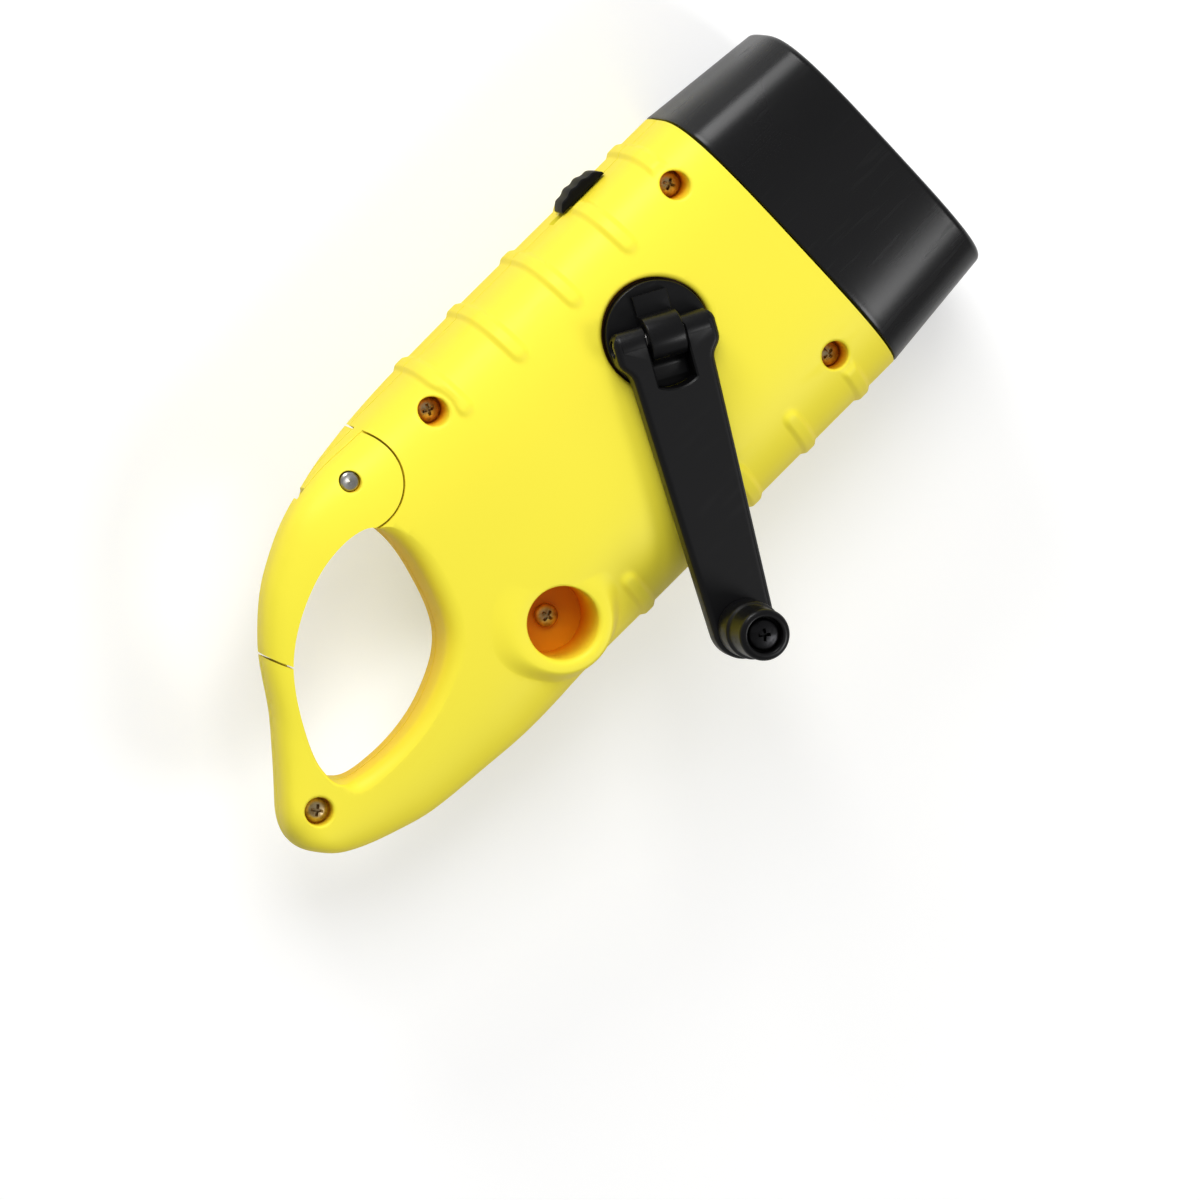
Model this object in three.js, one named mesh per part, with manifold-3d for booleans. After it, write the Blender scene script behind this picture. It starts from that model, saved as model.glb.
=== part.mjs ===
// Solar dynamo flashlight with a folding crank and a snap-hook tail.
// Millimetres. +X points to the lens, +Y to the switch and the hook's gate,
// +Z to the crank. It lies on its solar face at z = 0, and the origin is on
// that face's flat land, between the solar window and the hook's eye.
// Places along the body are given as s, the distance behind the head seam.

import * as THREE from "three";
import { mergeVertices } from "three/addons/utils/BufferGeometryUtils.js";
import Module from "manifold-3d";

// Overall form
const BODY_LENGTH = 110.8;
const BODY_HALF_WIDTH = 24.4;
const BODY_THICKNESS = 34;
const PARTING_HEIGHT = 17;
const SOLAR_SIDE_SWELL = 1.5;
const SEAM_X = 48;
const SECTION_POWER = 3.4;
const TIP_POWER = 2.5;
const TIP_RADIUS = 4.5;
const FACE_DROP = 4.2;
const TAIL_BASE_HEIGHT = 18.5;
const WALL = 2;

// Clearances, and the overrun of every cut
const GAP = 0.3;
const SLACK = 0.6;
const OVERRUN = 1;

// Outline of the body in plan, as shares of its length and half width,
// first along the gate side and then along the back
const GATE_SIDE_SHARES = [
  [0, -1], [0.62, -1], [0.686, -0.967], [0.779, -0.791], [0.851, -0.508],
  [0.907, -0.139], [0.964, 0.172], [0.987, 0.295], [1, 0.451],
];
const BACK_SIDE_SHARES = [
  [0, 1], [0.6, 1], [0.758, 0.955], [0.839, 0.918], [0.894, 0.848],
  [0.963, 0.705], [0.989, 0.578], [1, 0.451],
];
// Where the faces start to fall or rise, as leads before the gate's pin, and
// the lengths that they take for it
const FACE_FALL_LEAD = 25;
const SWELL_FADE_LEAD = 31.3;
const SWELL_FADE_LENGTH = 14;
const BASE_RISE_LEAD = 18.9;
const BASE_RISE_LENGTH = 27.7;
const PARTING_RISE_LEAD = 9.5;
const PARTING_RISE_LENGTH = 20;

// Eye of the hook, as shares of the body's length and half width
const EYE_SHARES = [
  [0.645, -0.58], [0.669, -0.63], [0.724, -0.619], [0.793, -0.492],
  [0.845, -0.307], [0.887, -0.02], [0.908, 0.23], [0.903, 0.385],
  [0.842, 0.455], [0.755, 0.406], [0.677, 0.201], [0.643, -0.143],
  [0.635, -0.4],
];
// Its mouth is round on the body's side, which lies at this bearing from it,
// and nearly sharp on the gate's. The shares say where one turns to the other.
const EYE_BODY_BEARING = -48.6;
const EYE_BODY_EDGE_RADIUS = 2.8;
const EYE_GATE_EDGE_RADIUS = 0.5;
const EYE_EDGE_TURN_SHARES = [0.05, 0.65];

// Ribs round the sides
const RIB_COUNT = 5;
const RIB_FIRST = 6.5;
const RIB_PITCH = 11;
const RIB_WIDTH = 2.2;
const RIB_HEIGHT = 0.7;
const RIB_INNER_END = 17.6;

// Head bezel
const HEAD_LENGTH = 20;
const HEAD_SIDE_TAPER = 1.7;
const HEAD_FACE_TAPER = 1.5;
const HEAD_EDGE_RADIUS = 1;
const HEAD_LIP_DEPTH = 1.6;
const HEAD_WALL = 2;
const SPIGOT_LENGTH = 2.4;
const SPIGOT_WALL = 1.4;

// Lens, reflector and lamps
const LENS_THICKNESS = 1.4;
const REFLECTOR_FLANGE = 1.2;
const CUP_WEB = 0.6;
const CUP_MARGIN = 0.1;
const CUP_DEPTH = 9.4;
const CUP_WALL = 0.9;
const LAMP_COUNT = 3;
const LAMP_RADIUS = 2.4;
const LAMP_LENGTH = 7.6;
const LAMP_FLANGE_RADIUS = 2.8;
const LAMP_FLANGE = 0.9;
const LAMP_BOARD_MARGIN = 2.7;
const LAMP_BOARD_HALF_WIDTH = 8;
const BOARD_THICKNESS = 1.2;

// Housing screws: place in plan as shares of the body's length and half
// width, depth of the hole above the head, and reach of the shank below it
const SCREW_PLACE_SHARES = [
  [0.06, -0.762], [0.0605, 0.623], [0.4865, -0.811], [0.9485, 0.402],
];
const SCREW_HOLE_DEPTH = 5.8;
const TAIL_SCREW_HOLE_DEPTH = 3.4;
const SCREW_HOLE_RADIUS = 2.05;
const SCREW_HEAD_RADIUS = 1.7;
const SCREW_HEAD_HEIGHT = 1.5;
const SCREW_SHANK_RADIUS = 0.95;
const SCREW_SHANK_LENGTH = 16;
const RECESS_SCREW_SHANK_LENGTH = 8.4;
const TAIL_SCREW_SHANK_LENGTH = 5.6;
const SCREW_RECESS_WIDTH = 0.45;
const SCREW_RECESS_LENGTH = 1.9;
const SCREW_RECESS_DEPTH = 0.7;
const BOSS_WALL = 1.6;

// Crank: the hub axis in plan, as shares of the body's length and half width,
// the seat in the face and the turning hub
const HUB_PLACE_SHARES = [0.2112, -0.2295];
const HUB_SEAT_RADIUS = 8.3;
const HUB_SEAT_DEPTH = 2;
const HUB_PAD_THICKNESS = 3;
const HUB_DISC_TOP = 34.3;
const HUB_SHAFT_RADIUS = 2.5;
const BUSH_WALL = 0.9;
const CRANK_REST_ANGLE = 242;
const PIN_AXIS_HEIGHT = 36.7;
const EAR_RADIUS = 2.1;
const EARS_WIDTH = 15.3;
const LUG_WIDTH = 5.2;
const LUG_LENGTH = 12.4;
const LUG_WING_HEIGHT = 1.1;
const LUG_BARREL_RADIUS = 3.3;
const HINGE_PIN_RADIUS = 1;
const ARM_LENGTH = 43.3;
const ARM_THICKNESS = 3.9;
const ARM_SLOT_LENGTH = 7;
const ARM_SHOULDER_START = 4.6;
const ARM_SHOULDER_END = 10.6;
const ARM_SLOT_SAG = 0.8;
const ARM_ROOT_WIDTH = 12.2;
const ARM_TIP_WIDTH = 9.3;
const ARM_EDGE = 0.7;
const KNOB_RADIUS = 4.15;
const KNOB_LENGTH = 11;
const KNOB_GRIP_RADIUS = 3.7;
const KNOB_RING_HEIGHT = 4.5;
const KNOB_EDGE = 0.8;
const KNOB_SCREW_RADIUS = 1.2;
const KNOB_SCREW_HEAD_RADIUS = 2.3;
const KNOB_SCREW_SINK = 0.5;

// Recess that takes the knob of the folded crank, set in from the side
const RECESS_INSET = 9.67;
const RECESS_RADIUS = 5.3;
const RECESS_DEPTH = 12.2;
const RECESS_EDGE_RADIUS = 1;
const RECESS_RIM_WIDTH = 1.7;
const RECESS_RIM_RADIUS = 0.7;
const RECESS_RIM_LIFT = 0.1;

// Gears of the dynamo. The drive gear fills its share of the half width.
const DRIVE_GEAR_RADIUS_SHARE = 0.5533;
const DRIVE_TEETH = 36;
const PINION_TEETH = 12;
const GEAR_2_TEETH = 30;
const GEAR_3_TEETH = 24;
const ROTOR_TEETH = 10;
const GEAR_2_BEARING = 200;
const GEAR_3_BEARING = -30;
const ROTOR_BEARING = 40;
const TOOTH_ROOT_SHARE = 0.64;
const TOOTH_TIP_SHARE = 0.2;
const TOOTH_HEIGHT_SHARE = 0.9;
const TOOTH_DEPTH_SHARE = 1.25;
const GEAR_WIDTH = 2.5;
const GEAR_STEP = 1;
const GEAR_FLOOR = 17;
const AXLE_RADIUS = 1;
const PLATE_THICKNESS = 1.4;
const PLATE_LENGTH = 32;
const PLATE_SIDE_ROOM = 7.4;
const PLATE_CORNER_RADIUS = 3;
const PLATE_HUB_ROOM = 19.2;
const PLATE_POST_RADIUS = 2.1;
// Posts of the gear plate, as shares of the plate's length and width
const PLATE_POST_SHARES = [
  [0.09, 0.06], [0.88, 0.08], [0.09, 0.94], [0.88, 0.94],
];
const PLATE_SCREW_RADIUS = 0.8;
const PLATE_SCREW_HEAD_RADIUS = 1.5;
const PLATE_SCREW_HEAD_HEIGHT = 0.7;
const PLATE_SCREW_LENGTH = 6;

// Generator under the gear plate
const MAGNET_RADIUS = 5.6;
const MAGNET_HEIGHT = 6;
const COIL_RADIUS_SHARE = 0.4016;
const COIL_HEIGHT = 7;
const CUP_SHELL = 0.8;

// Solar panel
const PANEL_START = 6;
const PANEL_LENGTH = 36.5;
const PANEL_WIDTH = 27;
const PANEL_CORNER_RADIUS = 2.5;
const PANEL_SINK = 0.25;
const PANEL_THICKNESS = 0.7;
const PANEL_LEDGE = 1.2;
const CELL_THICKNESS = 0.8;

// Battery, circuit board and switch
const BATTERY_FRONT_ROOM = 0.4;
const BATTERY_BACK_ROOM = 4;
const BATTERY_LENGTH = 18;
const BATTERY_CELLS = 3;
const BOARD_ROOM = 1.5;
const BOARD_HEIGHT = 10;
const SWITCH_S = 15.4;
const SWITCH_TRAVEL = 4;
const SWITCH_BUTTON_LENGTH = 8.3;
const SWITCH_BUTTON_HEIGHT = 5;
const SWITCH_BUTTON_RISE = 1.8;
const SWITCH_RIDGE_COUNT = 5;
const SWITCH_RIDGE_DEPTH = 0.35;
const SWITCH_STEM_LENGTH = 4;
const SWITCH_STEM_HEIGHT = 2;
const SWITCH_BODY_LENGTH = 9.4;
const SWITCH_BODY_DEPTH = 4;
const SWITCH_BODY_HEIGHT = 4.4;
const SWITCH_GROOVE_DEPTH = 1.2;

// Gate of the hook: its pin and the end of its bar, as shares of the body's
// length and half width. Bearings are counted from the line between the two.
const GATE_PIN_SHARES = [0.6255, -0.8566];
const GATE_TIP_SHARES = [0.8484, -0.352];
const GATE_DISC_RADIUS = 7.3;
const CAVITY_WEB = 1;
const GATE_PIN_RADIUS = 1.35;
const GATE_PIN_SINK = 0.4;
const GATE_LUG_RADIUS = 5.8;
const GATE_LUG_HEIGHT = 3.6;
const GATE_LUG_START = 20.7;
const GATE_LUG_ANGLES = [-75, 75];
const GATE_SECTOR_ANGLES = [-106.5, 25.5];
const TONGUE_LENGTH = 1.6;
const TONGUE_HEIGHT = 3.6;
const TONGUE_ANGLES = [-1.9, 1.9];
const TONGUE_POCKET_ANGLES = [-2.7, 18.5];
const SPRING_WIRE_RADIUS = 0.3;
const SPRING_TURNS = 3;
const SPRING_PITCH = 0.85;

// Counts of facets
const SECTION_SIDES = 26;
const INNER_SIDES = 20;
const ROUND_SIDES = 16;
const SMALL_SIDES = 8;
const TAIL_STATIONS = 12;
const CAVITY_STATIONS = 5;
const PARTING_STEPS = 12;
const WEDGE_STEPS = 12;
const HEAD_STEPS = 2;
const CUP_RINGS = 3;
const CORNER_STEPS = 3;
const TIP_STEPS = 6;
const EYE_STEPS = 28;
const ROUNDING_SHARE = 0.3;

const wasm = await Module();
wasm.setup();

// Turns a closed geometry, or a solid, into a solid.
function solid(shape) {
  if (!shape.isBufferGeometry) return shape;
  const bare = shape.clone();
  bare.deleteAttribute("normal");
  bare.deleteAttribute("uv");
  const merged = mergeVertices(bare);
  return new wasm.Manifold(
    new wasm.Mesh({
      numProp: 3,
      vertProperties: new Float32Array(merged.attributes.position.array),
      triVerts: new Uint32Array(merged.index.array),
    }),
  );
}

const join = (first, ...rest) =>
  rest.reduce((sum, part) => sum.add(solid(part)), solid(first));
const cut = (first, ...tools) =>
  tools.reduce((sum, tool) => sum.subtract(solid(tool)), solid(first));
const common = (first, ...rest) =>
  rest.reduce((sum, part) => sum.intersect(solid(part)), solid(first));

const radians = (degrees) => THREE.MathUtils.degToRad(degrees);
const polar = (radius, degrees, [x, y] = [0, 0]) => [
  x + radius * Math.cos(radians(degrees)),
  y + radius * Math.sin(radians(degrees)),
];
const range = (count) => Array.from({ length: count }, (_, i) => i);

// A round bar along Z.
function rod(radius, from, to, [x, y] = [0, 0], sides = ROUND_SIDES) {
  return new THREE.CylinderGeometry(radius, radius, to - from, sides)
    .rotateX(Math.PI / 2)
    .translate(x, y, (from + to) / 2);
}

// A body turned about Z from a profile of [radius, height] points.
function turned(profile, [x, y] = [0, 0], sides = ROUND_SIDES) {
  const points = profile.map(([r, z]) => new THREE.Vector2(r, z));
  return new THREE.LatheGeometry(points, sides)
    .rotateX(Math.PI / 2)
    .translate(x, y, 0);
}

// A box between two corners.
function block([x0, y0, z0], [x1, y1, z1]) {
  return new THREE.BoxGeometry(x1 - x0, y1 - y0, z1 - z0).translate(
    (x0 + x1) / 2,
    (y0 + y1) / 2,
    (z0 + z1) / 2,
  );
}

// An outline of [x, y] points, or a Shape, raised along Z.
function prism(outline, from, to) {
  const shape = outline instanceof THREE.Shape
    ? outline
    : new THREE.Shape(outline.map(([x, y]) => new THREE.Vector2(x, y)));
  return new THREE.ExtrudeGeometry(shape, {
    depth: to - from,
    bevelEnabled: false,
    curveSegments: CORNER_STEPS,
  }).translate(0, 0, from);
}

// A rectangle with round corners, raised along Z.
function roundedPlate([x0, y0], [x1, y1], radius, from, to) {
  const shape = new THREE.Shape();
  shape.absarc(x1 - radius, y0 + radius, radius, -Math.PI / 2, 0);
  shape.absarc(x1 - radius, y1 - radius, radius, 0, Math.PI / 2);
  shape.absarc(x0 + radius, y1 - radius, radius, Math.PI / 2, Math.PI);
  shape.absarc(x0 + radius, y0 + radius, radius, Math.PI, 1.5 * Math.PI);
  return prism(shape, from, to);
}

// A closed skin through rings of equal point counts, with fan ends.
function loft(rings, poles = []) {
  const count = rings[0].length;
  const middle = (ring) =>
    ring
      .reduce((sum, point) => sum.add(point), new THREE.Vector3())
      .divideScalar(count);
  const first = poles[0] ?? middle(rings[0]);
  const last = poles[1] ?? middle(rings[rings.length - 1]);
  const points = [...rings.flat(), first, last];
  const start = points.length - 2;
  const faces = [];
  range(count).forEach((i) => {
    const j = (i + 1) % count;
    const end = (rings.length - 1) * count;
    faces.push(start, j, i, start + 1, end + i, end + j);
    range(rings.length - 1).forEach((k) => {
      const [a, b] = [k * count + i, k * count + j];
      faces.push(a, b, b + count, a, b + count, a + count);
    });
  });
  return new THREE.BufferGeometry().setFromPoints(points).setIndex(faces);
}

// A smooth line through [place, height] points that never overshoots them.
function smoothLine(points) {
  const steps = points.slice(1).map(([x, y], i) => ({
    width: x - points[i][0],
    slope: (y - points[i][1]) / (x - points[i][0]),
  }));
  const slopes = points.map((_, i) => {
    const [before, after] = [steps[i - 1], steps[i]];
    if (!before || !after) return (before ?? after).slope;
    if (before.slope * after.slope <= 0) return 0;
    const [p, q] = [
      2 * after.width + before.width,
      after.width + 2 * before.width,
    ];
    return (p + q) / (p / before.slope + q / after.slope);
  });
  return (x) => {
    const found = points.findIndex(([end]) => end >= x);
    const i = Math.max(found < 0 ? points.length - 2 : found - 1, 0);
    const [[x0, y0], [, y1]] = [points[i], points[i + 1]];
    const { width } = steps[i];
    const t = (x - x0) / width;
    const near = (1 + 2 * t) * (1 - t) ** 2 * y0 + t * t * (3 - 2 * t) * y1;
    const lean = t * (1 - t) ** 2 * slopes[i] - t * t * (1 - t) * slopes[i + 1];
    return near + lean * width;
  };
}

const ease = THREE.MathUtils.smoothstep;
const toX = (s) => SEAM_X - s;
const toS = (x) => SEAM_X - x;

// The body's side lines. Root of the distance to the tip makes the tip round.
const sideLine = (shares) => {
  const rows = shares.map(([s, y]) => [1 - Math.sqrt(1 - s), y]);
  const line = smoothLine(rows);
  return (s) =>
    -BODY_HALF_WIDTH *
    line(1 - Math.sqrt(Math.max(1 - Math.max(s, 0) / BODY_LENGTH, 0)));
};
const gateSideY = sideLine(GATE_SIDE_SHARES);
const backSideY = sideLine(BACK_SIDE_SHARES);

// Heights of the crank face, of the solar face and of the parting line.
const pinS = GATE_PIN_SHARES[0] * BODY_LENGTH;
const faceFallStart = pinS - FACE_FALL_LEAD;
const swellFadeStart = pinS - SWELL_FADE_LEAD;
const baseRiseStart = pinS - BASE_RISE_LEAD;
const partingRiseStart = pinS - PARTING_RISE_LEAD;
const faceHeight = (s) =>
  BODY_THICKNESS - FACE_DROP * ease(s, faceFallStart, BODY_LENGTH);
const swellAt = (s) =>
  SOLAR_SIDE_SWELL *
  (1 - ease(s, swellFadeStart, swellFadeStart + SWELL_FADE_LENGTH));
const baseHeight = (s) =>
  TAIL_BASE_HEIGHT * ease(s, baseRiseStart, baseRiseStart + BASE_RISE_LENGTH) -
  swellAt(s);
const tailParting = (BODY_THICKNESS - FACE_DROP + TAIL_BASE_HEIGHT) / 2;
const partingHeight = (s) =>
  PARTING_HEIGHT +
  (tailParting - PARTING_HEIGHT) *
    ease(s, partingRiseStart, partingRiseStart + PARTING_RISE_LENGTH);

// A rounded oblong section across X, with its widest line at `wide`.
function section(x, [y0, y1], [low, wide, high], sides) {
  const power = 2 / SECTION_POWER;
  const round = (v) => Math.sign(v) * Math.abs(v) ** power;
  return range(sides).map((i) => {
    const angle = (2 * Math.PI * (i + 0.5)) / sides;
    const up = round(Math.sin(angle));
    const z = wide + (up > 0 ? high - wide : wide - low) * up;
    const y = (y0 + y1) / 2 + ((y1 - y0) / 2) * round(Math.cos(angle));
    return new THREE.Vector3(x, y, z);
  });
}

// A section of the body at s, drawn in by `inset`.
function bodySection(s, inset, sides) {
  const near = Math.max(BODY_LENGTH - s, 0) / TIP_RADIUS;
  const tip = near < 1 ? (1 - (1 - near) ** TIP_POWER) ** (1 / TIP_POWER) : 1;
  const wide = partingHeight(s);
  const low = wide - (wide - baseHeight(s)) * tip + inset;
  const high = wide + (faceHeight(s) - wide) * tip - inset;
  const sideLines = [backSideY(s) + inset, gateSideY(s) - inset];
  return section(toX(s), sideLines, [low, wide, high], sides);
}

// Everything higher than `floor`, which makes the flat land of the solar side.
const FAR = 2 * BODY_LENGTH;
const aboveFloor = (floor) => block([-FAR, -FAR, floor], [FAR, FAR, FAR]);

// The whole body without its openings. Stations close up to the tip.
function bodyForm() {
  const straight = baseRiseStart;
  const front = [0, swellFadeStart, faceFallStart, straight];
  const tail = range(TAIL_STATIONS)
    .slice(1)
    .map((i) => 1 - (1 - i / TAIL_STATIONS) ** 2)
    .map((share) => straight + (BODY_LENGTH - straight) * share);
  const rings = [...front, ...tail].map((s) =>
    bodySection(s, 0, SECTION_SIDES),
  );
  const tip = new THREE.Vector3(
    toX(BODY_LENGTH),
    gateSideY(BODY_LENGTH),
    tailParting,
  );
  return common(loft(rings.reverse(), [tip]), aboveFloor(0));
}

// The hollow of the body, open to the head.
function bodyCavity() {
  const places = [-OVERRUN, swellFadeStart];
  const rest = range(CAVITY_STATIONS).map(
    (i) => places[1] + ((cavityEnd - places[1]) * (i + 1)) / CAVITY_STATIONS,
  );
  const rings = [...places, ...rest].map((s) =>
    bodySection(s, WALL, INNER_SIDES),
  );
  return common(loft(rings.reverse()), aboveFloor(WALL));
}

// Everything above the parting surface, or below it.
function halfSpace(upper) {
  const side = BODY_HALF_WIDTH + 2 * OVERRUN;
  const far = upper ? BODY_THICKNESS + side : -side;
  const reach = BODY_LENGTH + 2 * OVERRUN;
  const stations = range(PARTING_STEPS + 1).map(
    (i) => -OVERRUN + (i * reach) / PARTING_STEPS,
  );
  const step = upper ? GAP / 2 : -GAP / 2;
  const line = stations.map((s) => [toX(s), partingHeight(s) + step]);
  const outline = [
    ...line,
    [line[line.length - 1][0], far],
    [line[0][0], far],
  ];
  return prism(outline, -side, side).rotateX(Math.PI / 2);
}

// A place in plan from its shares of the body's length and half width.
const placeOf = ([shareS, shareY]) => [
  toX(shareS * BODY_LENGTH),
  -shareY * BODY_HALF_WIDTH,
];

// Outline of the eye in plan, as a closed curve.
const eyeCurve = new THREE.CatmullRomCurve3(
  EYE_SHARES.map((shares) => new THREE.Vector3(...placeOf(shares), 0)),
  true,
);

// The eye's cut. Its mouth is rounded out at both faces.
function eyeCut() {
  const bodyWay = new THREE.Vector3(...polar(1, EYE_BODY_BEARING), 0);
  const rim = range(EYE_STEPS).map((i) => {
    const place = eyeCurve.getPointAt(i / EYE_STEPS);
    const along = eyeCurve.getTangentAt(i / EYE_STEPS);
    const outward = new THREE.Vector3(along.y, -along.x, 0);
    const turn = ease(outward.dot(bodyWay), ...EYE_EDGE_TURN_SHARES);
    const more = EYE_BODY_EDGE_RADIUS - EYE_GATE_EDGE_RADIUS;
    return { place, outward, radius: EYE_GATE_EDGE_RADIUS + more * turn };
  });
  const ring = (spreadShare, heightAt) =>
    rim.map(({ place, outward, radius }) => {
      const point = outward.clone().multiplyScalar(spreadShare * radius);
      point.add(place);
      point.z = heightAt(toS(point.x), radius);
      return point;
    });
  const bends = [0, 45, 90].map((angle) => [
    1 - Math.sin(radians(angle)),
    1 - Math.cos(radians(angle)),
  ]);
  const above = bends.map(([drop, spread]) =>
    ring(spread, (s, radius) => faceHeight(s) - drop * radius),
  );
  const below = bends
    .map(([drop, spread]) =>
      ring(spread, (s, radius) => baseHeight(s) + drop * radius),
    )
    .reverse();
  const top = ring(1, () => BODY_THICKNESS + OVERRUN);
  const bottom = ring(1, () => -OVERRUN);
  const rings = [bottom, ...below, ...above, top];
  const made = solid(loft(rings));
  return made.volume() < 0 ? solid(loft(rings.reverse())) : made;
}

// Height of the body's outer skin over or under a place in plan.
function skinHeight(s, y, upper) {
  const half = (gateSideY(s) - backSideY(s)) / 2;
  const off = Math.abs(y - (gateSideY(s) + backSideY(s)) / 2) / half;
  const rise = (1 - off ** SECTION_POWER) ** (1 / SECTION_POWER);
  const wide = partingHeight(s);
  const edge = upper ? faceHeight(s) : baseHeight(s);
  return Math.max(wide + (edge - wide) * rise, 0);
}

// A wedge of a disc about `centre`, between two bearings.
function wedge(radius, [start, end], centre, from, to, inner = 0) {
  const steps = range(WEDGE_STEPS + 1).map(
    (i) => start + ((end - start) * i) / WEDGE_STEPS,
  );
  const rim = steps.map((angle) => polar(radius, angle, centre));
  const back = inner
    ? steps.reverse().map((angle) => polar(inner, angle, centre))
    : [centre];
  return prism([...rim, ...back], from, to);
}

const gatePin = placeOf(GATE_PIN_SHARES);
const gateTip = placeOf(GATE_TIP_SHARES);
const gateLine = [gateTip[0] - gatePin[0], gateTip[1] - gatePin[1]];
const gateReach = Math.hypot(...gateLine);
const gateBearing = THREE.MathUtils.radToDeg(Math.atan2(gateLine[1], gateLine[0]));
const fromGate = (angles) => angles.map((angle) => gateBearing + angle);
const cavityEnd = toS(gatePin[0]) - GATE_DISC_RADIUS - CAVITY_WEB;

const hubPlace = placeOf(HUB_PLACE_SHARES);
const recessY = RECESS_INSET - BODY_HALF_WIDTH;
const recessPlace = [
  hubPlace[0] - Math.sqrt(ARM_LENGTH ** 2 - (hubPlace[1] - recessY) ** 2),
  recessY,
];
const recessS = toS(recessPlace[0]);
const recessTop = faceHeight(recessS) + RECESS_RIM_LIFT;
const recessFloor = recessTop - RECESS_DEPTH;
const ABOVE = BODY_THICKNESS + 2 * OVERRUN;

// The gate's share of the plan: the disc round its pin and the sector out to
// its tip, grown by `spread`.
function gateRegion(spread) {
  const disc = rod(
    GATE_DISC_RADIUS + spread,
    -OVERRUN,
    ABOVE,
    gatePin,
    2 * ROUND_SIDES,
  );
  const reach = gateReach + spread;
  return join(
    disc,
    wedge(reach, fromGate(GATE_SECTOR_ANGLES), gatePin, -OVERRUN, ABOVE),
  );
}

// Places and depths of the five screws that hold the shells together.
const shellScrews = [
  ...SCREW_PLACE_SHARES.map((shares, i) => {
    const place = placeOf(shares);
    const tail = i === SCREW_PLACE_SHARES.length - 1;
    const depth = tail ? TAIL_SCREW_HOLE_DEPTH : SCREW_HOLE_DEPTH;
    return {
      place,
      seat: skinHeight(toS(place[0]), place[1], true) - depth,
      shank: tail ? TAIL_SCREW_SHANK_LENGTH : SCREW_SHANK_LENGTH,
    };
  }),
  {
    place: recessPlace,
    seat: recessFloor,
    shank: RECESS_SCREW_SHANK_LENGTH,
  },
];

// A pan-head screw with a plain shank, and a cross recess where it shows.
function screw({ place, seat, shank }, size) {
  const { head, height, radius } = size;
  const top = seat + GAP + height;
  const body = turned(
    [
      [0, seat - shank],
      [radius, seat - shank],
      [radius, seat + GAP],
      [head, seat + GAP],
      [head, top - height * ROUNDING_SHARE],
      [head - height * ROUNDING_SHARE, top],
      [0, top],
    ],
    place,
    SMALL_SIDES,
  );
  if (!size.crossHead) return solid(body);
  const [x, y] = place;
  const [long, thin] = [
    SCREW_RECESS_LENGTH / 2,
    SCREW_RECESS_WIDTH / 2,
  ];
  const deep = top - SCREW_RECESS_DEPTH;
  return cut(
    body,
    block([x - long, y - thin, deep], [x + long, y + thin, top + OVERRUN]),
    block([x - thin, y - long, deep], [x + thin, y + long, top + OVERRUN]),
  );
}
const shellScrewSize = {
  head: SCREW_HEAD_RADIUS,
  height: SCREW_HEAD_HEIGHT,
  radius: SCREW_SHANK_RADIUS,
  crossHead: true,
};

// Raised ribs round both sides: the skin moved outwards, in rounded bars.
function ribs() {
  const ends = [0, RIB_FIRST + RIB_COUNT * RIB_PITCH];
  const bars = range(RIB_COUNT).map((i) => toX(RIB_FIRST + i * RIB_PITCH));
  return [-1, 1].map((side) => {
    const skin = loft(
      ends.map((s) => bodySection(s, 0, SECTION_SIDES)).reverse(),
    ).translate(0, side * RIB_HEIGHT, 0);
    const half = RIB_WIDTH / 2;
    const outer = side * (BODY_HALF_WIDTH + RIB_HEIGHT + OVERRUN);
    const inner = side * RIB_INNER_END;
    const bar = (x) => {
      const [y0, y1] = [Math.min(inner, outer), Math.max(inner, outer)];
      const length = block([x - half, y0, -OVERRUN], [x + half, y1, ABOVE]);
      return join(length, rod(half, -OVERRUN, ABOVE, [x, inner], SMALL_SIDES));
    };
    return common(skin, join(...bars.map(bar)));
  });
}

// The slide switch: its land, free of ribs, and the slot for its stem.
const switchX = toX(SWITCH_S);
const switchSeat = BODY_HALF_WIDTH + GAP;
function switchLand() {
  const half = SWITCH_BUTTON_LENGTH / 2 + SLACK;
  const tall = SWITCH_BUTTON_HEIGHT / 2 + SLACK;
  return block(
    [switchX - SWITCH_TRAVEL - half, BODY_HALF_WIDTH, PARTING_HEIGHT - tall],
    [switchX + half, BODY_HALF_WIDTH + ABOVE, PARTING_HEIGHT + tall],
  );
}
function switchSlot(from, to, clearance) {
  const half = SWITCH_STEM_LENGTH / 2 + clearance;
  const tall = SWITCH_STEM_HEIGHT / 2 + clearance;
  return block(
    [switchX - SWITCH_TRAVEL - half, from, PARTING_HEIGHT - tall],
    [switchX + half, to, PARTING_HEIGHT + tall],
  );
}

// Solar panel: the window's rectangle in the base, drawn in by `inset`.
function panelPlate(inset, from, to) {
  const [x0, x1] = [toX(PANEL_START + PANEL_LENGTH), toX(PANEL_START)];
  const half = PANEL_WIDTH / 2 - inset;
  return roundedPlate(
    [x0 + inset, -half],
    [x1 - inset, half],
    PANEL_CORNER_RADIUS,
    from,
    to,
  );
}

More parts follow.
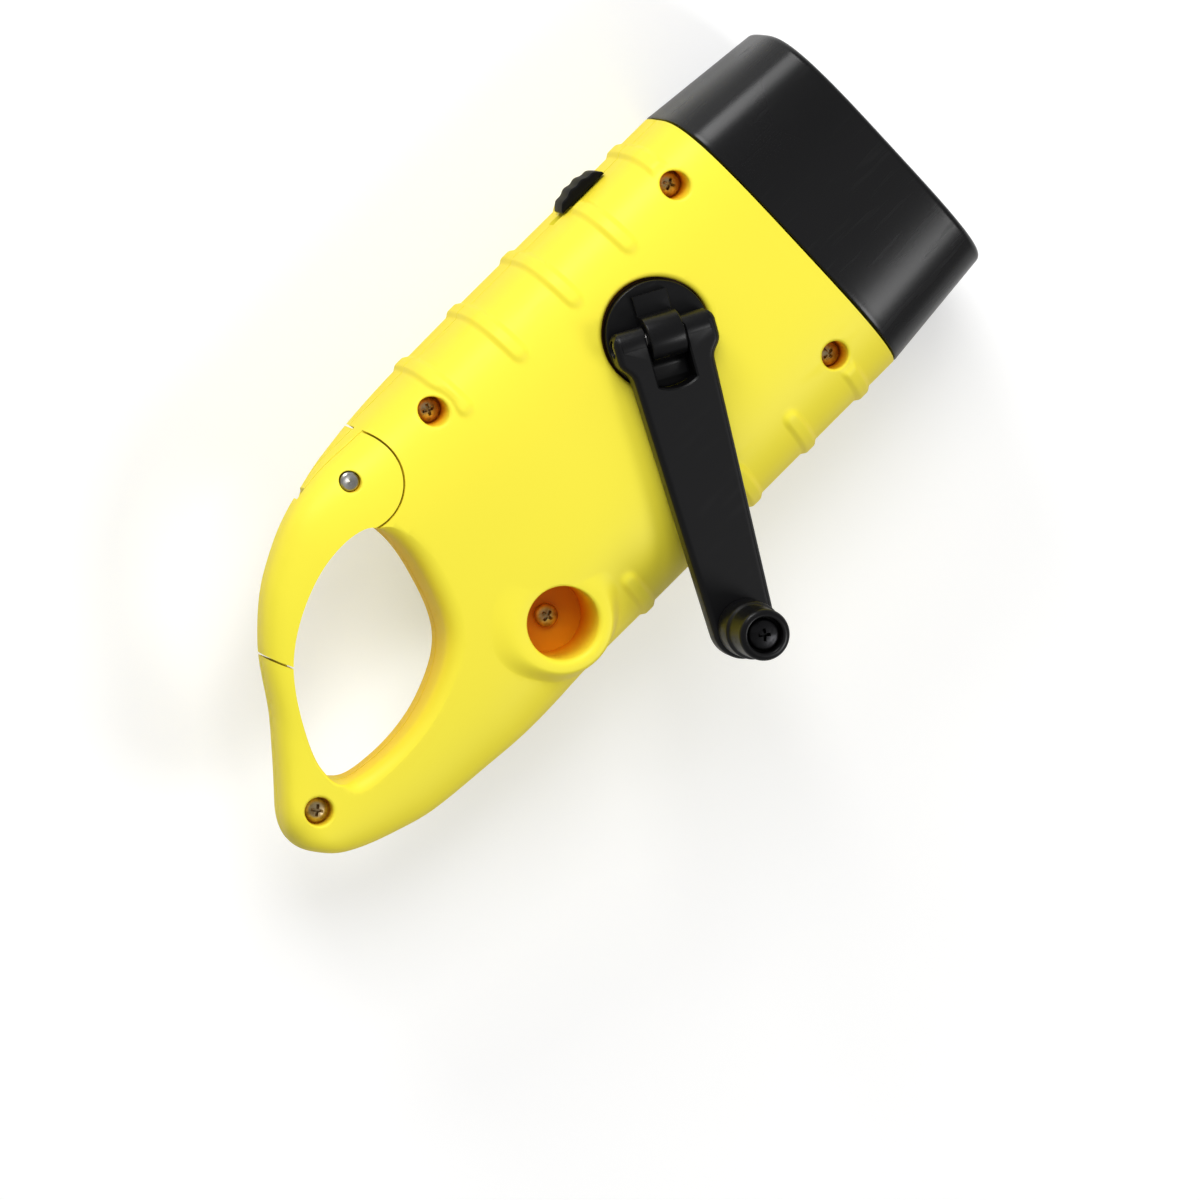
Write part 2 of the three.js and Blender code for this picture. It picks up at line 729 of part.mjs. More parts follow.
// Levels of the gear train and of the plate that carries it.
const gearLevel = range(3).map((i) => GEAR_FLOOR + i * (GEAR_WIDTH + GEAR_STEP));
const plateTop = GEAR_FLOOR - SLACK;
const plateBottom = plateTop - PLATE_THICKNESS;
const gearModule =
  (2 * DRIVE_GEAR_RADIUS_SHARE * BODY_HALF_WIDTH) / DRIVE_TEETH;
const spacing = (a, b) => (gearModule * (a + b)) / 2;
const gear2Place = polar(
  spacing(DRIVE_TEETH, PINION_TEETH),
  GEAR_2_BEARING,
  hubPlace,
);
const gear3Place = polar(
  spacing(GEAR_2_TEETH, PINION_TEETH),
  GEAR_3_BEARING,
  gear2Place,
);
const rotorPlace = polar(
  spacing(GEAR_3_TEETH, ROTOR_TEETH),
  ROTOR_BEARING,
  gear3Place,
);
const plateWidth = 2 * (BODY_HALF_WIDTH - PLATE_SIDE_ROOM);
const plateStart = [hubPlace[0] - PLATE_HUB_ROOM, -plateWidth / 2];
const platePosts = PLATE_POST_SHARES.map(([shareX, shareY]) => [
  plateStart[0] + shareX * PLATE_LENGTH,
  plateStart[1] + shareY * plateWidth,
]);

// The two halves of the housing.
const form = bodyForm();
const grip = cut(join(form, ...ribs()), switchLand());
const eye = eyeCut();
const gateRoom = gateRegion(GAP / 2);
const cavity = bodyCavity();

function tonguePocket() {
  const middle = tailParting;
  const tall = TONGUE_HEIGHT / 2 + GAP;
  return wedge(
    gateReach + TONGUE_LENGTH + 2 * GAP,
    fromGate(TONGUE_POCKET_ANGLES),
    gatePin,
    middle - tall,
    middle + tall,
    gateReach - OVERRUN,
  );
}

// The lug that carries the gate's pin, with its web to the crank shell.
function gateLug() {
  const top = GATE_LUG_START + GATE_LUG_HEIGHT;
  const web = GATE_DISC_RADIUS + GAP + OVERRUN;
  return common(
    join(
      rod(GATE_LUG_RADIUS, GATE_LUG_START, top, gatePin),
      wedge(web, GATE_LUG_ANGLES, gatePin, GATE_LUG_START, top),
    ),
    form,
  );
}

function recessCut() {
  const [r, edge] = [RECESS_RADIUS, RECESS_EDGE_RADIUS];
  const mouth = [0, 30, 60, 90].map((angle) => [
    r + edge * (1 - Math.cos(radians(angle))),
    recessTop - edge * (1 - Math.sin(radians(angle))),
  ]);
  return turned(
    [
      [0, recessFloor],
      [r, recessFloor],
      ...mouth,
      [r + edge, ABOVE],
      [0, ABOVE],
    ],
    recessPlace,
  );
}

function recessTube() {
  const outer = RECESS_RADIUS + RECESS_RIM_WIDTH;
  const edge = RECESS_RIM_RADIUS;
  return turned(
    [
      [0, recessFloor - WALL],
      [outer, recessFloor - WALL],
      [outer, recessTop - edge],
      [outer - edge * ROUNDING_SHARE, recessTop - edge * ROUNDING_SHARE],
      [outer - edge, recessTop],
      [0, recessTop],
    ],
    recessPlace,
  );
}

function crankSideShell() {
  const half = common(grip, halfSpace(true));
  const seatFloor = BODY_THICKNESS - HUB_SEAT_DEPTH;
  const pad = rod(
    HUB_SEAT_RADIUS + WALL,
    seatFloor - HUB_PAD_THICKNESS,
    ABOVE,
    hubPlace,
  );
  const bosses = shellScrews
    .slice(0, -1)
    .map(({ place }) =>
      rod(
        SCREW_HOLE_RADIUS + BOSS_WALL,
        partingHeight(toS(place[0])) + GAP / 2,
        ABOVE,
        place,
      ),
    );
  const hollow = cut(cavity, pad, ...bosses);
  const holes = shellScrews.map(({ place, seat }) =>
    rod(SCREW_HOLE_RADIUS, seat, ABOVE, place),
  );
  const shanks = shellScrews.map(({ place }) =>
    rod(SCREW_SHANK_RADIUS + GAP, 0, ABOVE, place, SMALL_SIDES),
  );
  const open = cut(join(cut(half, hollow), recessTube()), gateRoom, eye);
  return cut(
    join(open, gateLug()),
    recessCut(),
    rod(HUB_SEAT_RADIUS, seatFloor, ABOVE, hubPlace, 2 * ROUND_SIDES),
    rod(HUB_SHAFT_RADIUS + BUSH_WALL + 2 * GAP, PARTING_HEIGHT, ABOVE, hubPlace),
    ...holes.slice(0, -1),
    ...shanks,
    rod(GATE_PIN_RADIUS + GAP, 0, ABOVE, gatePin, SMALL_SIDES),
    tonguePocket(),
    switchSlot(BODY_HALF_WIDTH - 2 * WALL, BODY_HALF_WIDTH + OVERRUN, GAP),
  );
}

const lowerBossRadius = SCREW_SHANK_RADIUS + GAP + BOSS_WALL;
function solarSideShell() {
  const half = common(grip, halfSpace(false));
  const bosses = shellScrews.map(({ place }, i) => {
    const under = recessFloor - WALL - GAP;
    const top = partingHeight(toS(place[0])) - GAP / 2;
    const last = i === shellScrews.length - 1;
    return rod(
      lowerBossRadius,
      -OVERRUN,
      last ? Math.min(under, top) : top,
      place,
    );
  });
  const posts = platePosts.map((place) =>
    rod(PLATE_POST_RADIUS, -OVERRUN, plateBottom - GAP, place, SMALL_SIDES),
  );
  const hollow = cut(cavity, ...bosses, ...posts);
  const windowFloor = PANEL_SINK + PANEL_THICKNESS + GAP;
  const pilots = shellScrews.map(({ place, seat, shank }) =>
    rod(SCREW_SHANK_RADIUS + GAP, seat - shank - GAP, ABOVE, place, SMALL_SIDES),
  );
  const postPilots = platePosts.map((place) =>
    rod(
      PLATE_SCREW_RADIUS + GAP,
      plateTop - PLATE_SCREW_LENGTH - GAP,
      ABOVE,
      place,
      SMALL_SIDES,
    ),
  );
  return cut(
    cut(half, hollow),
    gateRoom,
    eye,
    panelPlate(0, -OVERRUN, windowFloor),
    panelPlate(PANEL_LEDGE, -OVERRUN, WALL + OVERRUN),
    ...pilots,
    ...postPilots,
    rod(
      RECESS_RADIUS + RECESS_RIM_WIDTH + GAP,
      recessFloor - WALL - GAP,
      ABOVE,
      recessPlace,
    ),
    tonguePocket(),
    switchSlot(BODY_HALF_WIDTH - 2 * WALL, BODY_HALF_WIDTH + OVERRUN, GAP),
  );
}

// The gate: two ears round the lug, the curved bar and the tongue at its tip.
function gateBar() {
  const lugTop = GATE_LUG_START + GATE_LUG_HEIGHT;
  const tall = TONGUE_HEIGHT / 2;
  const tongue = wedge(
    gateReach + TONGUE_LENGTH,
    fromGate(TONGUE_ANGLES),
    gatePin,
    tailParting - tall,
    tailParting + tall,
    gateReach - OVERRUN,
  );
  return cut(
    join(cut(common(form, gateRegion(-GAP / 2)), eye), tongue),
    rod(GATE_DISC_RADIUS, GATE_LUG_START - GAP, lugTop + GAP, gatePin),
    rod(GATE_PIN_RADIUS + GAP, 0, ABOVE, gatePin, SMALL_SIDES),
    rod(
      springRadius + SPRING_WIRE_RADIUS + GAP,
      springFloor - SPRING_WIRE_RADIUS - GAP,
      GATE_LUG_START,
      gatePin,
      SMALL_SIDES,
    ),
  );
}

// Torsion spring: a helix of round wire about the gate's pin.
const springRadius = GATE_PIN_RADIUS + GAP + SPRING_WIRE_RADIUS;
const springRise = SPRING_TURNS * SPRING_PITCH;
const springFloor = GATE_LUG_START - GAP - SPRING_WIRE_RADIUS - springRise;
class Helix extends THREE.Curve {
  constructor(radius, pitch, count, [x, y], z) {
    super();
    Object.assign(this, { radius, pitch, count, x, y, z });
  }
  getPoint(t, target = new THREE.Vector3()) {
    const angle = t * this.count * 2 * Math.PI;
    return target.set(
      this.x + this.radius * Math.cos(angle),
      this.y + this.radius * Math.sin(angle),
      this.z + t * this.count * this.pitch,
    );
  }
}
function gateSpring() {
  const wire = new THREE.Shape();
  wire.absarc(0, 0, SPRING_WIRE_RADIUS, 0, 2 * Math.PI);
  return solid(
    new THREE.ExtrudeGeometry(wire, {
      steps: SPRING_TURNS * 8,
      curveSegments: 3,
      extrudePath: new Helix(
        springRadius,
        SPRING_PITCH,
        SPRING_TURNS,
        gatePin,
        springFloor,
      ),
    }),
  );
}

function pinOfGate() {
  const height = (upper) => skinHeight(toS(gatePin[0]), gatePin[1], upper);
  return solid(
    rod(
      GATE_PIN_RADIUS,
      height(false) + GATE_PIN_SINK,
      height(true) - GATE_PIN_SINK,
      gatePin,
      SMALL_SIDES,
    ),
  );
}

// Head bezel: a tapered oblong ring with a rounded front edge and a spigot.
const headFront = SEAM_X + HEAD_LENGTH;
const headSide = BODY_HALF_WIDTH - HEAD_SIDE_TAPER;
const headHalf = BODY_THICKNESS / 2 - HEAD_FACE_TAPER;
const bore = {
  side: headSide - HEAD_WALL,
  half: headHalf - HEAD_WALL,
};
const oblong = (x, side, half, sides = INNER_SIDES) =>
  section(
    x,
    [-side, side],
    [PARTING_HEIGHT - half, PARTING_HEIGHT, PARTING_HEIGHT + half],
    sides,
  );
const oblongPlate = (from, to, side, half) =>
  loft([oblong(from, side, half), oblong(to, side, half)]);

function headRing(x, share, inset) {
  const mix = THREE.MathUtils.lerp;
  const side = mix(BODY_HALF_WIDTH, headSide, share) - inset;
  const high = mix(BODY_THICKNESS, PARTING_HEIGHT + headHalf, share) - inset;
  const low = mix(-SOLAR_SIDE_SWELL, PARTING_HEIGHT - headHalf, share) + inset;
  return section(x, [-side, side], [low, PARTING_HEIGHT, high], SECTION_SIDES);
}

function headBezel() {
  const back = SEAM_X + GAP;
  const edge = HEAD_EDGE_RADIUS;
  const straight = range(HEAD_STEPS + 1).map((i) => i / HEAD_STEPS);
  const skirt = straight.map((t) =>
    headRing(back + (headFront - edge - back) * t, t, 0),
  );
  const rounded = [30, 60, 90].map((angle) =>
    headRing(
      headFront - edge + edge * Math.sin(radians(angle)),
      1,
      edge * (1 - Math.cos(radians(angle))),
    ),
  );
  const outer = common(loft([...skirt, ...rounded]), aboveFloor(0));
  const inset = WALL + GAP;
  const spigotRing = (x) =>
    section(
      x,
      [inset - BODY_HALF_WIDTH, BODY_HALF_WIDTH - inset],
      [inset - SOLAR_SIDE_SWELL, PARTING_HEIGHT, BODY_THICKNESS - inset],
      INNER_SIDES,
    );
  const spigot = common(
    loft([spigotRing(SEAM_X - SPIGOT_LENGTH), spigotRing(back + OVERRUN)]),
    aboveFloor(inset),
  );
  const lip = headFront - HEAD_LIP_DEPTH;
  return cut(
    join(outer, spigot),
    oblongPlate(SEAM_X - SPIGOT_LENGTH - OVERRUN, lip, bore.side, bore.half),
    loft([
      oblong(lip - OVERRUN, bore.side - SPIGOT_WALL, bore.half - SPIGOT_WALL),
      oblong(lip, bore.side - SPIGOT_WALL, bore.half - SPIGOT_WALL),
      oblong(headFront, bore.side - SLACK, bore.half - SLACK),
      oblong(headFront + OVERRUN, bore.side - SLACK, bore.half - SLACK),
    ]),
  );
}

// Lens, reflector and lamps, one behind the other in the bezel.
const lensFront = headFront - HEAD_LIP_DEPTH - GAP;
const flangeFront = lensFront - LENS_THICKNESS - GAP;
const cupBack = flangeFront - CUP_DEPTH;
const boardFront = cupBack - GAP;
const flangeSide = bore.side - GAP;
const cupRadius = flangeSide / LAMP_COUNT - CUP_WEB;
const outerLamp = flangeSide - CUP_MARGIN - CUP_WALL - cupRadius;
const lampPlaces = range(LAMP_COUNT).map(
  (i) => outerLamp * ((2 * i) / (LAMP_COUNT - 1) - 1),
);
const alongX = (geometry, y) =>
  geometry.rotateY(Math.PI / 2).translate(0, y, PARTING_HEIGHT);

function frontLens() {
  const [side, half] = [bore.side - GAP, bore.half - GAP];
  return solid(oblongPlate(lensFront - LENS_THICKNESS, lensFront, side, half));
}

function reflector() {
  const flange = oblongPlate(
    flangeFront - REFLECTOR_FLANGE,
    flangeFront,
    bore.side - GAP,
    bore.half - GAP,
  );
  const throat = LAMP_FLANGE_RADIUS + GAP;
  const bowl = (wall) =>
    range(CUP_RINGS).map((i) => {
      const t = i / (CUP_RINGS - 1);
      const swell = throat + (cupRadius - throat) * Math.sqrt(t);
      return [swell + wall, cupBack + CUP_DEPTH * t];
    });
  const cup = (wall, over) => [
    [0, cupBack - over],
    [throat + wall, cupBack - over],
    ...bowl(wall),
    [cupRadius + wall, flangeFront + over],
    [0, flangeFront + over],
  ];
  const unique = (rows) =>
    rows.filter(([r, z], i) => !i || r !== rows[i - 1][0] || z !== rows[i - 1][1]);
  const shells = lampPlaces.map((y) =>
    alongX(turned(unique(cup(CUP_WALL, 0)), [0, 0]), y),
  );
  const bowls = lampPlaces.map((y) =>
    alongX(turned(unique(cup(0, OVERRUN)), [0, 0]), y),
  );
  return cut(join(flange, ...shells), ...bowls);
}

function lamp(y) {
  const dome = [0, 30, 60].map((angle) => [
    LAMP_RADIUS * Math.cos(radians(angle)),
    cupBack + LAMP_LENGTH - LAMP_RADIUS + LAMP_RADIUS * Math.sin(radians(angle)),
  ]);
  return solid(
    alongX(
      turned(
        [
          [0, cupBack],
          [LAMP_FLANGE_RADIUS, cupBack],
          [LAMP_FLANGE_RADIUS, cupBack + LAMP_FLANGE],
          [LAMP_RADIUS, cupBack + LAMP_FLANGE],
          ...dome,
          [0, cupBack + LAMP_LENGTH],
        ],
        [0, 0],
        SMALL_SIDES,
      ),
      y,
    ),
  );
}

const lampBoard = () =>
  solid(
    oblongPlate(
      boardFront - BOARD_THICKNESS,
      boardFront,
      bore.side - LAMP_BOARD_MARGIN,
      LAMP_BOARD_HALF_WIDTH,
    ),
  );

// A spur gear with tapered teeth. `phase` turns it by a share of one tooth.
function gear(teeth, place, from, width, phase) {
  const pitch = (gearModule * teeth) / 2;
  const root = pitch - gearModule * TOOTH_DEPTH_SHARE;
  const tip = pitch + gearModule * TOOTH_HEIGHT_SHARE;
  const step = 360 / teeth;
  const corner = (radius, share) => ({ radius, share });
  const tooth = [
    corner(root, -TOOTH_ROOT_SHARE / 2),
    corner(tip, -TOOTH_TIP_SHARE / 2),
    corner(tip, TOOTH_TIP_SHARE / 2),
    corner(root, TOOTH_ROOT_SHARE / 2),
  ];
  const outline = range(teeth).flatMap((i) =>
    tooth.map(({ radius, share }) =>
      polar(radius, (i + phase + share) * step, place),
    ),
  );
  return prism(outline, from, from + width);
}

// Phase that sets a gap of the driven gear on the tooth of its driver: the
// driver's phase at `bearing`, and the driven gear's seen from the other side.
function meshPhase(driver, driven, bearing, phase) {
  const at = (bearing / 360) * driver - phase;
  const share = at - Math.floor(at);
  const facing = ((bearing + 180) / 360) * driven;
  return facing + share - 0.5;
}

const gear2Phase = meshPhase(DRIVE_TEETH, PINION_TEETH, GEAR_2_BEARING, 0);
const gear3Phase = meshPhase(
  GEAR_2_TEETH,
  PINION_TEETH,
  GEAR_3_BEARING,
  (gear2Phase * GEAR_2_TEETH) / PINION_TEETH,
);
const rotorPhase = meshPhase(
  GEAR_3_TEETH,
  ROTOR_TEETH,
  ROTOR_BEARING,
  (gear3Phase * GEAR_3_TEETH) / PINION_TEETH,
);

function compoundGear(teeth, place, level, phase) {
  const wheel = gear(
    teeth,
    place,
    gearLevel[level],
    GEAR_WIDTH,
    (phase * teeth) / PINION_TEETH,
  );
  const pinion = gear(
    PINION_TEETH,
    place,
    gearLevel[level] + GEAR_WIDTH / 2,
    GEAR_WIDTH * 1.5 + GEAR_STEP,
    phase,
  );
  return cut(
    join(wheel, pinion),
    rod(AXLE_RADIUS + GAP, 0, ABOVE, place, SMALL_SIDES),
  );
}

const driveGear = () =>
  cut(
    gear(DRIVE_TEETH, hubPlace, gearLevel[2], GEAR_WIDTH, 0),
    rod(HUB_SHAFT_RADIUS + GAP, 0, ABOVE, hubPlace, SMALL_SIDES),
  );

const axle = (place, top) =>
  solid(rod(AXLE_RADIUS, plateBottom, top, place, SMALL_SIDES));

function tube(inner, outer, from, to, place, sides = ROUND_SIDES) {
  return cut(
    rod(outer, from, to, place, sides),
    rod(inner, from - OVERRUN, to + OVERRUN, place, sides),
  );
}

function rotorPinion() {
  return join(
    gear(ROTOR_TEETH, rotorPlace, gearLevel[0], GEAR_WIDTH, rotorPhase),
    rod(
      AXLE_RADIUS,
      cupFloor,
      gearLevel[1] + GEAR_WIDTH - GEAR_STEP,
      rotorPlace,
      SMALL_SIDES,
    ),
  );
}

// Generator: cup, coil and magnet, hung under the gear plate.
const cupTop = plateBottom - GAP;
const coilFloor = cupTop - COIL_HEIGHT;
const cupFloor = coilFloor - GAP - CUP_SHELL;
const coilRadius = COIL_RADIUS_SHARE * BODY_HALF_WIDTH;
const cupOuter = coilRadius + GAP + CUP_SHELL;
const coilInner = MAGNET_RADIUS + SLACK;
const statorCup = () =>
  cut(
    rod(cupOuter, cupFloor, cupTop, rotorPlace),
    rod(coilRadius + GAP, cupFloor + CUP_SHELL, ABOVE, rotorPlace),
    rod(AXLE_RADIUS + GAP, 0, ABOVE, rotorPlace, SMALL_SIDES),
  );
const statorCoil = () =>
  tube(coilInner, coilRadius, coilFloor, cupTop, rotorPlace);
const rotorMagnet = () => {
  const from = coilFloor + (COIL_HEIGHT - MAGNET_HEIGHT) / 2;
  const bore = AXLE_RADIUS + GAP;
  return tube(bore, MAGNET_RADIUS, from, from + MAGNET_HEIGHT, rotorPlace);
};

function gearPlate() {
  const [x, y] = plateStart;
  const holes = [gear2Place, gear3Place, rotorPlace].map((place) =>
    rod(AXLE_RADIUS + GAP, 0, ABOVE, place, SMALL_SIDES),
  );
  const screwHoles = platePosts.map((place) =>
    rod(PLATE_SCREW_RADIUS + GAP, 0, ABOVE, place, SMALL_SIDES),
  );
  const bossNotches = shellScrews.map(({ place }) =>
    rod(lowerBossRadius + GAP, 0, ABOVE, place, SMALL_SIDES),
  );
  return cut(
    roundedPlate(
      [x, y],
      [x + PLATE_LENGTH, y + plateWidth],
      PLATE_CORNER_RADIUS,
      plateBottom,
      plateTop,
    ),
    rod(HUB_SHAFT_RADIUS + GAP, 0, ABOVE, hubPlace),
    ...holes,
    ...screwHoles,
    ...bossNotches,
  );
}

// Crank hub: disc, shaft and the lug for the hinge pin, then the arm. Both are
// made along +X from the hub axis and turned to the crank's rest bearing.
const atCrank = (geometry) =>
  geometry
    .rotateZ(radians(CRANK_REST_ANGLE))
    .translate(hubPlace[0], hubPlace[1], 0);
const turnedToCrank = (body) =>
  body.rotate([0, 0, CRANK_REST_ANGLE]).translate([...hubPlace, 0]);
const pinBar = (radius, width, sides = SMALL_SIDES) =>
  atCrank(
    new THREE.CylinderGeometry(radius, radius, width, sides).translate(
      0,
      0,
      PIN_AXIS_HEIGHT,
    ),
  );
const seatTop = BODY_THICKNESS - HUB_SEAT_DEPTH + GAP;
const discRadius = HUB_SEAT_RADIUS - SLACK;

function crankHub() {
  const disc = turned(
    [
      [0, seatTop],
      [discRadius, seatTop],
      [discRadius, HUB_DISC_TOP - GAP],
      [discRadius - GAP, HUB_DISC_TOP],
      [0, HUB_DISC_TOP],
    ],
    hubPlace,
    2 * ROUND_SIDES,
  );
  const [long, half] = [LUG_LENGTH / 2, LUG_WIDTH / 2];
  const low = HUB_DISC_TOP - OVERRUN;
  const wings = atCrank(
    block([-long, -half, low], [long, half, HUB_DISC_TOP + LUG_WING_HEIGHT]),
  );
  const barrel = LUG_BARREL_RADIUS;
  const neck = atCrank(
    block([-barrel, -half, low], [barrel, half, PIN_AXIS_HEIGHT]),
  );
  return cut(
    join(
      disc,
      rod(HUB_SHAFT_RADIUS, plateBottom, seatTop + OVERRUN, hubPlace),
      wings,
      neck,
      pinBar(barrel, LUG_WIDTH, ROUND_SIDES),
    ),
    pinBar(HINGE_PIN_RADIUS + GAP, EARS_WIDTH),
  );
}

// Outline of the arm in plan, drawn in by `inset`, from the pin to the tip.
function armOutline(inset) {
  const ears = EARS_WIDTH / 2 - inset;
  const rootHalf = ARM_ROOT_WIDTH / 2 - inset;
  const tipHalf = ARM_TIP_WIDTH / 2 - inset;
  const [from, to] = [ARM_SHOULDER_START, ARM_SHOULDER_END];
  const bend = (from + to) / 2;
  const shape = new THREE.Shape();
  shape.moveTo(0, -ears);
  shape.lineTo(from, -ears);
  shape.bezierCurveTo(bend, -ears, bend, -rootHalf, to, -rootHalf);
  shape.absarc(ARM_LENGTH, 0, tipHalf, -Math.PI / 2, Math.PI / 2);
  shape.lineTo(to, rootHalf);
  shape.bezierCurveTo(bend, rootHalf, bend, ears, from, ears);
  shape.lineTo(0, ears);
  return shape;
}

function crankArm() {
  const half = ARM_THICKNESS / 2;
  const [low, high] = [PIN_AXIS_HEIGHT - half, PIN_AXIS_HEIGHT + half];
  const bar = new THREE.ExtrudeGeometry(armOutline(ARM_EDGE), {
    depth: ARM_THICKNESS - 2 * ARM_EDGE,
    bevelThickness: ARM_EDGE,
    bevelSize: ARM_EDGE,
    bevelSegments: 1,
    curveSegments: TIP_STEPS,
  }).translate(0, 0, low + ARM_EDGE);
  const slotHalf = LUG_WIDTH / 2 + GAP;
  const behind = block(
    [-BODY_HALF_WIDTH, -EARS_WIDTH, low - OVERRUN],
    [0, EARS_WIDTH, high + OVERRUN],
  );
  const slot = block(
    [-BODY_HALF_WIDTH, -slotHalf, low - 2 * OVERRUN],
    [ARM_SLOT_LENGTH, slotHalf, high + 2 * OVERRUN],
  );
  const sag = ARM_SLOT_SAG;
  const sagRadius = (slotHalf ** 2 + sag ** 2) / (2 * sag);
  const slotEnd = common(
    rod(
      sagRadius,
      low - 2 * OVERRUN,
      high + 2 * OVERRUN,
      [ARM_SLOT_LENGTH + sag - sagRadius, 0],
      2 * ROUND_SIDES,
    ),
    block(
      [ARM_SLOT_LENGTH - OVERRUN, -slotHalf, low - OVERRUN],
      [ARM_SLOT_LENGTH + 2 * sag, slotHalf, high + OVERRUN],
    ),
  );
  const tip = polar(ARM_LENGTH, CRANK_REST_ANGLE, hubPlace);
  return cut(
    join(cut(atCrank(bar), atCrank(behind)), pinBar(EAR_RADIUS, EARS_WIDTH)),
    atCrank(slot),
    turnedToCrank(slotEnd),
    pinBar(HINGE_PIN_RADIUS + GAP, EARS_WIDTH + 2 * OVERRUN),
    rod(KNOB_SCREW_RADIUS + GAP, low - OVERRUN, high + OVERRUN, tip, SMALL_SIDES),
  );
}

const knobPlace = polar(ARM_LENGTH, CRANK_REST_ANGLE, hubPlace);
const knobFloor = PIN_AXIS_HEIGHT + ARM_THICKNESS / 2 + GAP;
const knobTop = knobFloor + KNOB_LENGTH;
const knobSeat = knobTop - KNOB_SCREW_SINK - SCREW_HEAD_HEIGHT - GAP;

function crankKnob() {
  const ring = knobFloor + KNOB_RING_HEIGHT;
  const knob = turned(
    [
      [0, knobFloor],
      [KNOB_RADIUS, knobFloor],
      [KNOB_RADIUS, ring],
      [KNOB_GRIP_RADIUS, ring + KNOB_EDGE],
      [KNOB_GRIP_RADIUS, knobTop - KNOB_EDGE],
      [
        KNOB_GRIP_RADIUS - KNOB_EDGE * ROUNDING_SHARE,
        knobTop - KNOB_EDGE * ROUNDING_SHARE,
      ],
      [KNOB_GRIP_RADIUS - KNOB_EDGE, knobTop],
      [0, knobTop],
    ],
    knobPlace,
  );
  return cut(
    knob,
    rod(KNOB_SCREW_RADIUS + GAP, 0, knobTop + OVERRUN, knobPlace, SMALL_SIDES),
    rod(KNOB_SCREW_HEAD_RADIUS + GAP, knobSeat, knobTop + OVERRUN, knobPlace),
  );
}

const knobScrew = () =>
  screw(
    {
      place: knobPlace,
      seat: knobSeat,
      shank: knobSeat - (PIN_AXIS_HEIGHT - ARM_THICKNESS / 2) - GAP,
    },
    {
      head: KNOB_SCREW_HEAD_RADIUS,
      height: SCREW_HEAD_HEIGHT,
      radius: KNOB_SCREW_RADIUS,
      crossHead: true,
    },
  );

// Switch button: a domed block with cross ridges, and the stem in the slot.
function switchSlider() {
  const half = SWITCH_BUTTON_LENGTH / 2;
  const dome = (x) => SWITCH_BUTTON_RISE * Math.sqrt(1 - (x / half) ** 2 / 2);
  const ridges = range(2 * SWITCH_RIDGE_COUNT + 1).map((i) => {
    const x = half - (i * SWITCH_BUTTON_LENGTH) / (2 * SWITCH_RIDGE_COUNT);
    const groove = i % 2 ? 0 : SWITCH_RIDGE_DEPTH;
    return [switchX + x, switchSeat + dome(x) - groove];
  });
  const outline = [
    [switchX - half, switchSeat],
    [switchX + half, switchSeat],
    ...ridges,
  ];
  const tall = SWITCH_BUTTON_HEIGHT / 2;
  const stem = SWITCH_STEM_LENGTH / 2;
  const thick = SWITCH_STEM_HEIGHT / 2;
  const inner = switchBodyFront - SWITCH_GROOVE_DEPTH + GAP;
  return join(
    prism(outline, PARTING_HEIGHT - tall, PARTING_HEIGHT + tall),
    block(
      [switchX - stem, inner, PARTING_HEIGHT - thick],
      [switchX + stem, switchSeat + OVERRUN, PARTING_HEIGHT + thick],
    ),
  );
}

const switchBodyFront = BODY_HALF_WIDTH - WALL - GAP;
function slideSwitchBody() {
  const half = SWITCH_BODY_LENGTH / 2;
  const tall = SWITCH_BODY_HEIGHT / 2;
  const body = block(
    [switchX - half, switchBodyFront - SWITCH_BODY_DEPTH, PARTING_HEIGHT - tall],
    [switchX + half, switchBodyFront, PARTING_HEIGHT + tall],
  );
  const groove = switchBodyFront - SWITCH_GROOVE_DEPTH;
  return cut(body, switchSlot(groove, BODY_HALF_WIDTH, GAP));
}

// Battery: three button cells in one sleeve, lying across the body.
function batteryPack() {
  const front = toS(plateStart[0]) + BATTERY_FRONT_ROOM;
  const radius = (cavityEnd - BATTERY_BACK_ROOM - front) / 2;
  const cell = BATTERY_LENGTH / BATTERY_CELLS;
  const profile = range(BATTERY_CELLS).flatMap((i) => [
    [radius - GAP, i * cell],
    [radius, i * cell + GAP],
    [radius, (i + 1) * cell - GAP],
  ]);
  const rows = [
    [0, 0],
    ...profile,
    [radius - GAP, BATTERY_LENGTH],
    [0, BATTERY_LENGTH],
  ];
  return solid(
    turned(rows)
      .rotateX(Math.PI / 2)
      .translate(toX(front + radius), BATTERY_LENGTH / 2, WALL + SLACK + radius),
  );
}

// Main board, upright between the first two posts of the gear plate.
const boardLow = WALL + GAP;
function mainBoard() {
  const [[x0, y0], [x1, y1]] = platePosts;
  const room = PLATE_POST_RADIUS + BOARD_ROOM;
  const back = (y0 + y1) / 2;
  return solid(
    block(
      [x0 + room, back, boardLow],
      [x1 - room, back + BOARD_THICKNESS, boardLow + BOARD_HEIGHT],
    ),
  );
}

const plateScrewSize = {
  head: PLATE_SCREW_HEAD_RADIUS,
  height: PLATE_SCREW_HEAD_HEIGHT,
  radius: PLATE_SCREW_RADIUS,
};

